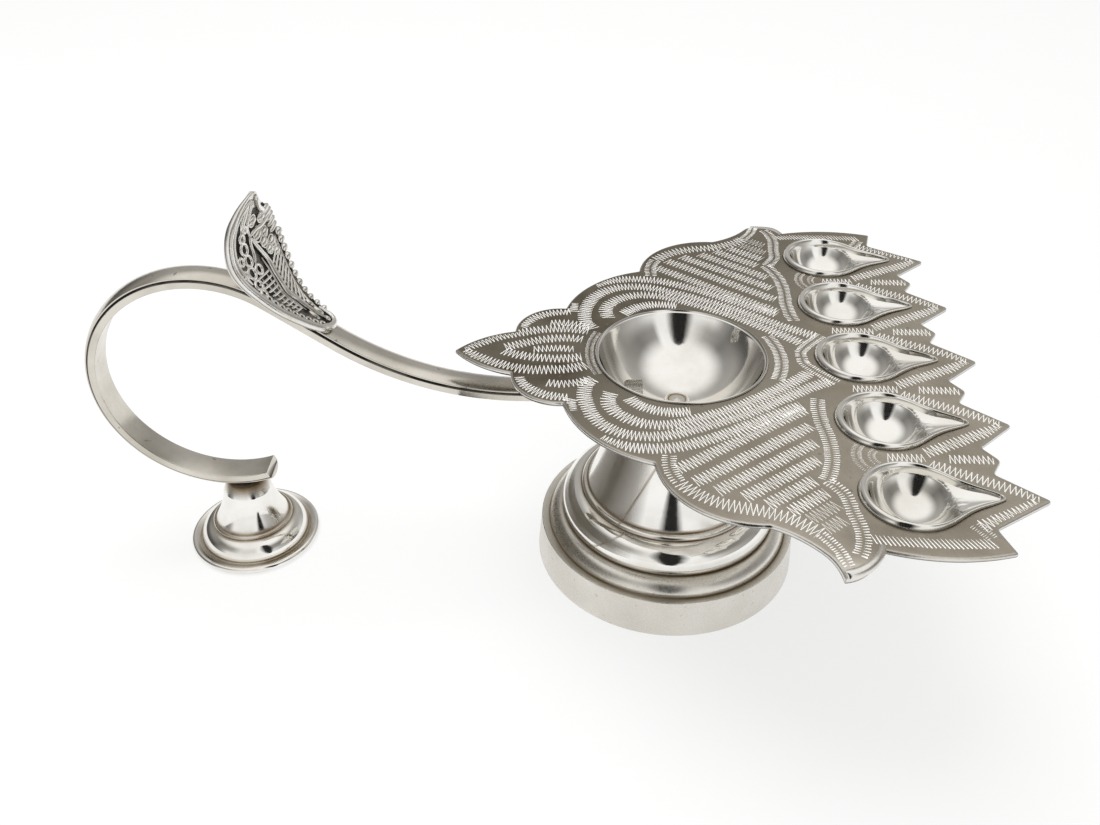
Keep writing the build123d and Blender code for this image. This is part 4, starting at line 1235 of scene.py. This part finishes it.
# ribs
MIDRIB = ((2.2, 0.0), (6.1, -0.3), (9.6, -0.4), (12.4, -0.9), (15.0, 0.0), (17.5, 0.7), (20.4, 1.6),
          (23.9, 0.8), (27.7, -0.8))
FORK = MIDRIB[-1]
midrib = smooth_through(MIDRIB)
leaf.strand(MIDRIB, 0.6, lift=0.25)
for shift in (-1.15, 1.15):
    leaf.strand([(a, midrib(a) + shift) for a in (7.0, 10.0, 13.0, 16.0, 19.0, 22.0)], 0.26)
leaf.strand([FORK, (28.0, 1.9), (27.7, 4.9), (28.4, 8.6)], 0.55, lift=0.2)
leaf.strand([FORK, (25.8, -1.3), (23.9, -1.7), (22.0, -3.1)], 0.45)
leaf.strand([FORK, (30.2, -1.2), (33.0, -0.2), (36.0, 0.3)], 0.45)
# cross-hatched fields on both sides of the midrib
HATCH_FROM, HATCH_PITCH, HATCH_COUNT, HATCH_RADIUS, CROSS_RADIUS = 8.0, 1.2, 10, 0.31, 0.22
HATCH_GAP, FAR_LEAN, NEAR_LEAN, FAR_MARGIN, NEAR_MARGIN = 1.2, 2.2, 1.2, 2.2, 2.9
for i in range(HATCH_COUNT):
    along = HATCH_FROM + HATCH_PITCH * i
    rib, far_edge, near_edge = midrib(along), leaf_half(along + FAR_LEAN, 1), leaf_half(along + NEAR_LEAN, -1)
    leaf.strand([(along, rib + HATCH_GAP), (along + 1.2, (rib + far_edge) / 2),
                 (along + FAR_LEAN, far_edge - FAR_MARGIN)], HATCH_RADIUS)
    leaf.strand([(along, rib - HATCH_GAP), (along + 0.7, (rib - near_edge) / 2 - 0.2),
                 (along + NEAR_LEAN, NEAR_MARGIN - near_edge)], HATCH_RADIUS)
for share in (0.36, 0.66):
    leaf.strand([(a, midrib(a) + share * (leaf_half(a, 1) - 2.0 - midrib(a)))
                 for a in (8.0, 11.0, 14.0, 17.0, 20.0)], CROSS_RADIUS)
    leaf.strand([(a, midrib(a) - share * (leaf_half(a, -1) - 2.6 + midrib(a)))
                 for a in (8.0, 11.0, 14.0, 17.0, 19.5)], CROSS_RADIUS)
# lobes of the upper part: along, across, length
LOBE_TURN = math.radians(66.0)
for along, across, length in ((30.6, 1.0, 1.5), (29.7, 5.0, 1.4), (26.6, 2.5, 1.9), (25.6, 5.6, 1.4),
                              (23.9, 4.0, 1.5), (22.4, 7.0, 1.5), (21.6, 4.6, 1.2), (19.9, 6.6, 1.1)):
    leaf.bead(along, across, length, 0.85, 0.95, LOBE_TURN)
    leaf.ring(along, across, length * 0.95, 0.24)
# scrolls of the near half (along, across, radius), and the loops along its rim
for along, across, radius in ((26.4, -4.3, 1.25), (23.9, -4.6, 1.2), (21.6, -5.9, 1.25), (20.9, -3.0, 1.1),
                              (18.9, -6.6, 1.1), (28.6, -4.0, 0.9), (30.0, -2.4, 0.7), (24.9, -7.0, 0.8),
                              (22.4, -8.0, 0.7), (17.0, -7.3, 0.8)):
    leaf.ring(along, across, radius, 0.44)
LOOPS_FROM, LOOP_PITCH, LOOP_COUNT, LOOP_INSET = 2.4, 1.62, 9, 1.75
for i in range(LOOP_COUNT):
    along = LOOPS_FROM + LOOP_PITCH * i
    leaf.ring(along, LOOP_INSET - leaf_half(along, -1), 0.62, 0.28)
# lobes of the low end
for along, across, length in ((4.4, 1.2, 1.5), (4.8, -1.4, 1.6), (1.9, 0.3, 0.9), (7.0, 1.8, 1.2)):
    leaf.bead(along, across, length, 0.55, 0.6, 0.12)
leaf.make()

# Floor, light and camera
FLOOR_SIZE, FLOOR_LEVEL = 6000.0, -0.02
floor_corners = [(x * FLOOR_SIZE * MM, y * FLOOR_SIZE * MM, FLOOR_LEVEL * MM)
                 for x, y in ((-1, -1), (1, -1), (1, 1), (-1, 1))]
floor_mesh = bpy.data.meshes.new("floor")
floor_mesh.from_pydata(floor_corners, [], [(0, 1, 2, 3)])
floor = placed("floor", floor_mesh)
FLOOR_WHITE_SHARE = 0.72
floor_paint = bpy.data.materials.new("floor_paper")
floor_tree = blank_tree(floor_paint)
paper = add(floor_tree, "BsdfDiffuse", {"Color": grey(0.93)})
white = add(floor_tree, "Emission", {"Color": grey(1.0), "Strength": 1.0})
ray = add(floor_tree, "LightPath").outputs
seen = add(floor_tree, "Math", {0: ray["Is Camera Ray"], 1: ray["Is Glossy Ray"]}, operation="ADD").outputs[0]
seen = add(floor_tree, "Math", {0: seen, 1: ray["Is Transmission Ray"]}, operation="ADD", use_clamp=True)
whitened = add(floor_tree, "Math", {0: seen.outputs[0], 1: FLOOR_WHITE_SHARE}, operation="MULTIPLY")
floor_look = add(floor_tree, "MixShader", {0: whitened.outputs[0], 1: paper.outputs[0], 2: white.outputs[0]})
floor_tree.links.new(floor_look.outputs[0], add(floor_tree, "OutputMaterial").inputs["Surface"])
floor_mesh.materials.append(floor_paint)

# Brightness of the tent low down and half way up, by degrees to the right of the camera's side
TENT_LOW = ((-180, 0.45), (-150, 0.4), (-135, 0.12), (-82, 0.08), (-62, 0.35), (-48, 0.95), (34, 0.95),
            (60, 0.5), (95, 0.3), (120, 0.7), (150, 0.4), (180, 0.45))
TENT_MIDDLE = ((-180, 0.5), (-120, 0.36), (-75, 0.2), (-42, 0.42), (-22, 0.82), (8, 0.8), (16, 1.0),
               (32, 1.0), (40, 0.32), (70, 0.22), (130, 0.42), (180, 0.5))
TENT_MIDDLE_FROM, TENT_MIDDLE_TO = 0.15, 0.5
TENT_TOP_FROM, TENT_TOP_TO = 0.6, 0.88
TENT_DUSK, TENT_TOP = (1.0, 0.965, 0.905), (1.0, 0.99, 0.975, 1.0)


def tent():
    """White studio tent: bright above and in front, with warm grey panels at the sides and behind."""
    world = bpy.data.worlds.new("tent")
    bpy.context.scene.world = world
    tree = blank_tree(world)
    way = add(tree, "SeparateXYZ", {"Vector": add(tree, "TexCoord").outputs["Generated"]}).outputs
    ahead = add(tree, "Math", {0: way["Y"], 1: -1.0}, operation="MULTIPLY")
    turn = add(tree, "Math", {0: way["X"], 1: ahead.outputs[0]}, operation="ARCTAN2")
    around = add(tree, "MapRange", {"Value": turn.outputs[0], "From Min": -math.pi, "From Max": math.pi})

    def panels(levels):
        """Panels around the lamp, which are warmer the darker they are."""
        stops = []
        for degrees, level in levels:
            tint = [level * (level + (1 - level) * share) for share in TENT_DUSK]
            stops.append(((degrees + 180) / 360, (*tint, 1.0)))
        return ramp(tree, around.outputs["Result"], stops)

    middle, top = (add(tree, "MapRange", {"Value": way["Z"], "From Min": low, "From Max": high},
                       interpolation_type="SMOOTHSTEP")
                   for low, high in ((TENT_MIDDLE_FROM, TENT_MIDDLE_TO), (TENT_TOP_FROM, TENT_TOP_TO)))
    colour = blend_colour(tree, middle.outputs["Result"], panels(TENT_LOW), panels(TENT_MIDDLE))
    colour = blend_colour(tree, top.outputs["Result"], colour, TENT_TOP)
    light = add(tree, "Background", {"Color": colour, "Strength": 1.0})
    tree.links.new(light.outputs[0], add(tree, "OutputWorld").inputs["Surface"])


tent()

# Cards that only mirror images show: (distance in front, height, half width) along a dark one before the
# lamp, and rows of places on a grey one at the pedestal's handle side
FLAG_LINE = ((124.0, 0.3, 5.0), (140.0, 0.6, 16.0), (148.0, 35.0, 40.0), (152.0, 95.0, 58.0),
             (156.0, 150.0, 58.0), (160.0, 220.0, 54.0), (166.0, 285.0, 44.0), (168.0, 310.0, 8.0))
FLAG_X, FLAG_CORE = 2.0, 0.45
FLAG_SHADES, FLAG_COLOUR = [0.0, 1.0, 1.0, 0.0], grey(0.02)
SIDE_X, SIDE_YS, SIDE_HEIGHTS = -52.0, (-84.0, -44.0, -10.0, 30.0, 62.0), (0.4, 44.0)
SIDE_SHADES, SIDE_COLOUR = [0.0, 0.75, 1.0, 0.8, 0.0], (0.26, 0.24, 0.21, 1.0)


def card(name, rows, shades, colour):
    """A matt card of the stage with soft edges, seen from its front in mirror images only.

    shades holds how dense the card is at each place of a row.
    """
    width = len(shades)
    mesh = bpy.data.meshes.new(name)
    mesh.from_pydata([tuple(c * MM for c in place) for row in rows for place in row], [],
                     [(r * width + c, r * width + c + 1, (r + 1) * width + c + 1, (r + 1) * width + c)
                      for r in range(len(rows) - 1) for c in range(width - 1)])
    mesh.attributes.new("shade", "FLOAT", "POINT").data.foreach_set("value", shades * len(rows))
    made = placed(name, mesh)
    made.visible_camera = False
    made.visible_diffuse = False
    made.visible_shadow = False
    cloth = bpy.data.materials.new(name + "_cloth")
    tree = blank_tree(cloth)
    behind = add(tree, "NewGeometry").outputs["Backfacing"]
    front = add(tree, "Math", {0: 1.0, 1: behind}, operation="SUBTRACT").outputs[0]
    dense = add(tree, "Attribute", attribute_name="shade").outputs["Fac"]
    shade = add(tree, "Math", {0: dense, 1: front}, operation="MULTIPLY")
    look = add(tree, "MixShader", {0: shade.outputs[0], 1: add(tree, "BsdfTransparent").outputs[0],
                                   2: add(tree, "BsdfDiffuse", {"Color": colour}).outputs[0]})
    tree.links.new(look.outputs[0], add(tree, "OutputMaterial").inputs["Surface"])
    mesh.materials.append(cloth)


card("flag", [[(FLAG_X - side * width, -ahead, height) for side in (-1.0, -FLAG_CORE, FLAG_CORE, 1.0)]
              for ahead, height, width in FLAG_LINE], FLAG_SHADES, FLAG_COLOUR)
card("side_card", [[(SIDE_X, y, height) for y in SIDE_YS] for height in SIDE_HEIGHTS],
     SIDE_SHADES, SIDE_COLOUR)


def soft_box(name, place, aim, size, power):
    """A round area lamp that mirror images don't show."""
    lamp = bpy.data.lights.new(name, "AREA")
    lamp.shape = "DISK"
    lamp.size = size * MM
    lamp.energy = power
    made = placed(name, lamp)
    made.location = Vector(place) * MM
    made.rotation_euler = (Vector(aim) - Vector(place)).to_track_quat("-Z", "Y").to_euler()
    made.visible_glossy = False


soft_box("top_box", place=(-150.0, 120.0, 800.0), aim=(0.0, 0.0, 30.0), size=600.0, power=3.6)

FOCAL_PIXELS, PHOTO_WIDTH = 1056.56, 1100
CAMERA_PLACE = Vector((-25.09, -204.88, 189.58))
CAMERA_AZIMUTH, CAMERA_ELEVATION, CAMERA_ROLL = (math.radians(v) for v in (1.368, 35.932, 0.575))
camera_data = bpy.data.cameras.new("camera")
camera_data.sensor_fit = "HORIZONTAL"
camera_data.sensor_width = 36.0
camera_data.lens = FOCAL_PIXELS * camera_data.sensor_width / PHOTO_WIDTH
camera_data.clip_start, camera_data.clip_end = 0.01, 50.0
camera = placed("camera", camera_data)
back = Vector((math.sin(CAMERA_AZIMUTH) * math.cos(CAMERA_ELEVATION),
               -math.cos(CAMERA_AZIMUTH) * math.cos(CAMERA_ELEVATION), math.sin(CAMERA_ELEVATION)))
right = Vector((0, 0, 1)).cross(back).normalized()
above = back.cross(right)
turned_right = right * math.cos(CAMERA_ROLL) + above * math.sin(CAMERA_ROLL)
turned_above = above * math.cos(CAMERA_ROLL) - right * math.sin(CAMERA_ROLL)
turn = Matrix((turned_right, turned_above, back)).transposed().to_4x4()
camera.matrix_world = Matrix.Translation(CAMERA_PLACE * MM) @ turn
bpy.context.scene.camera = camera

bpy.context.scene.view_settings.view_transform = "Standard"
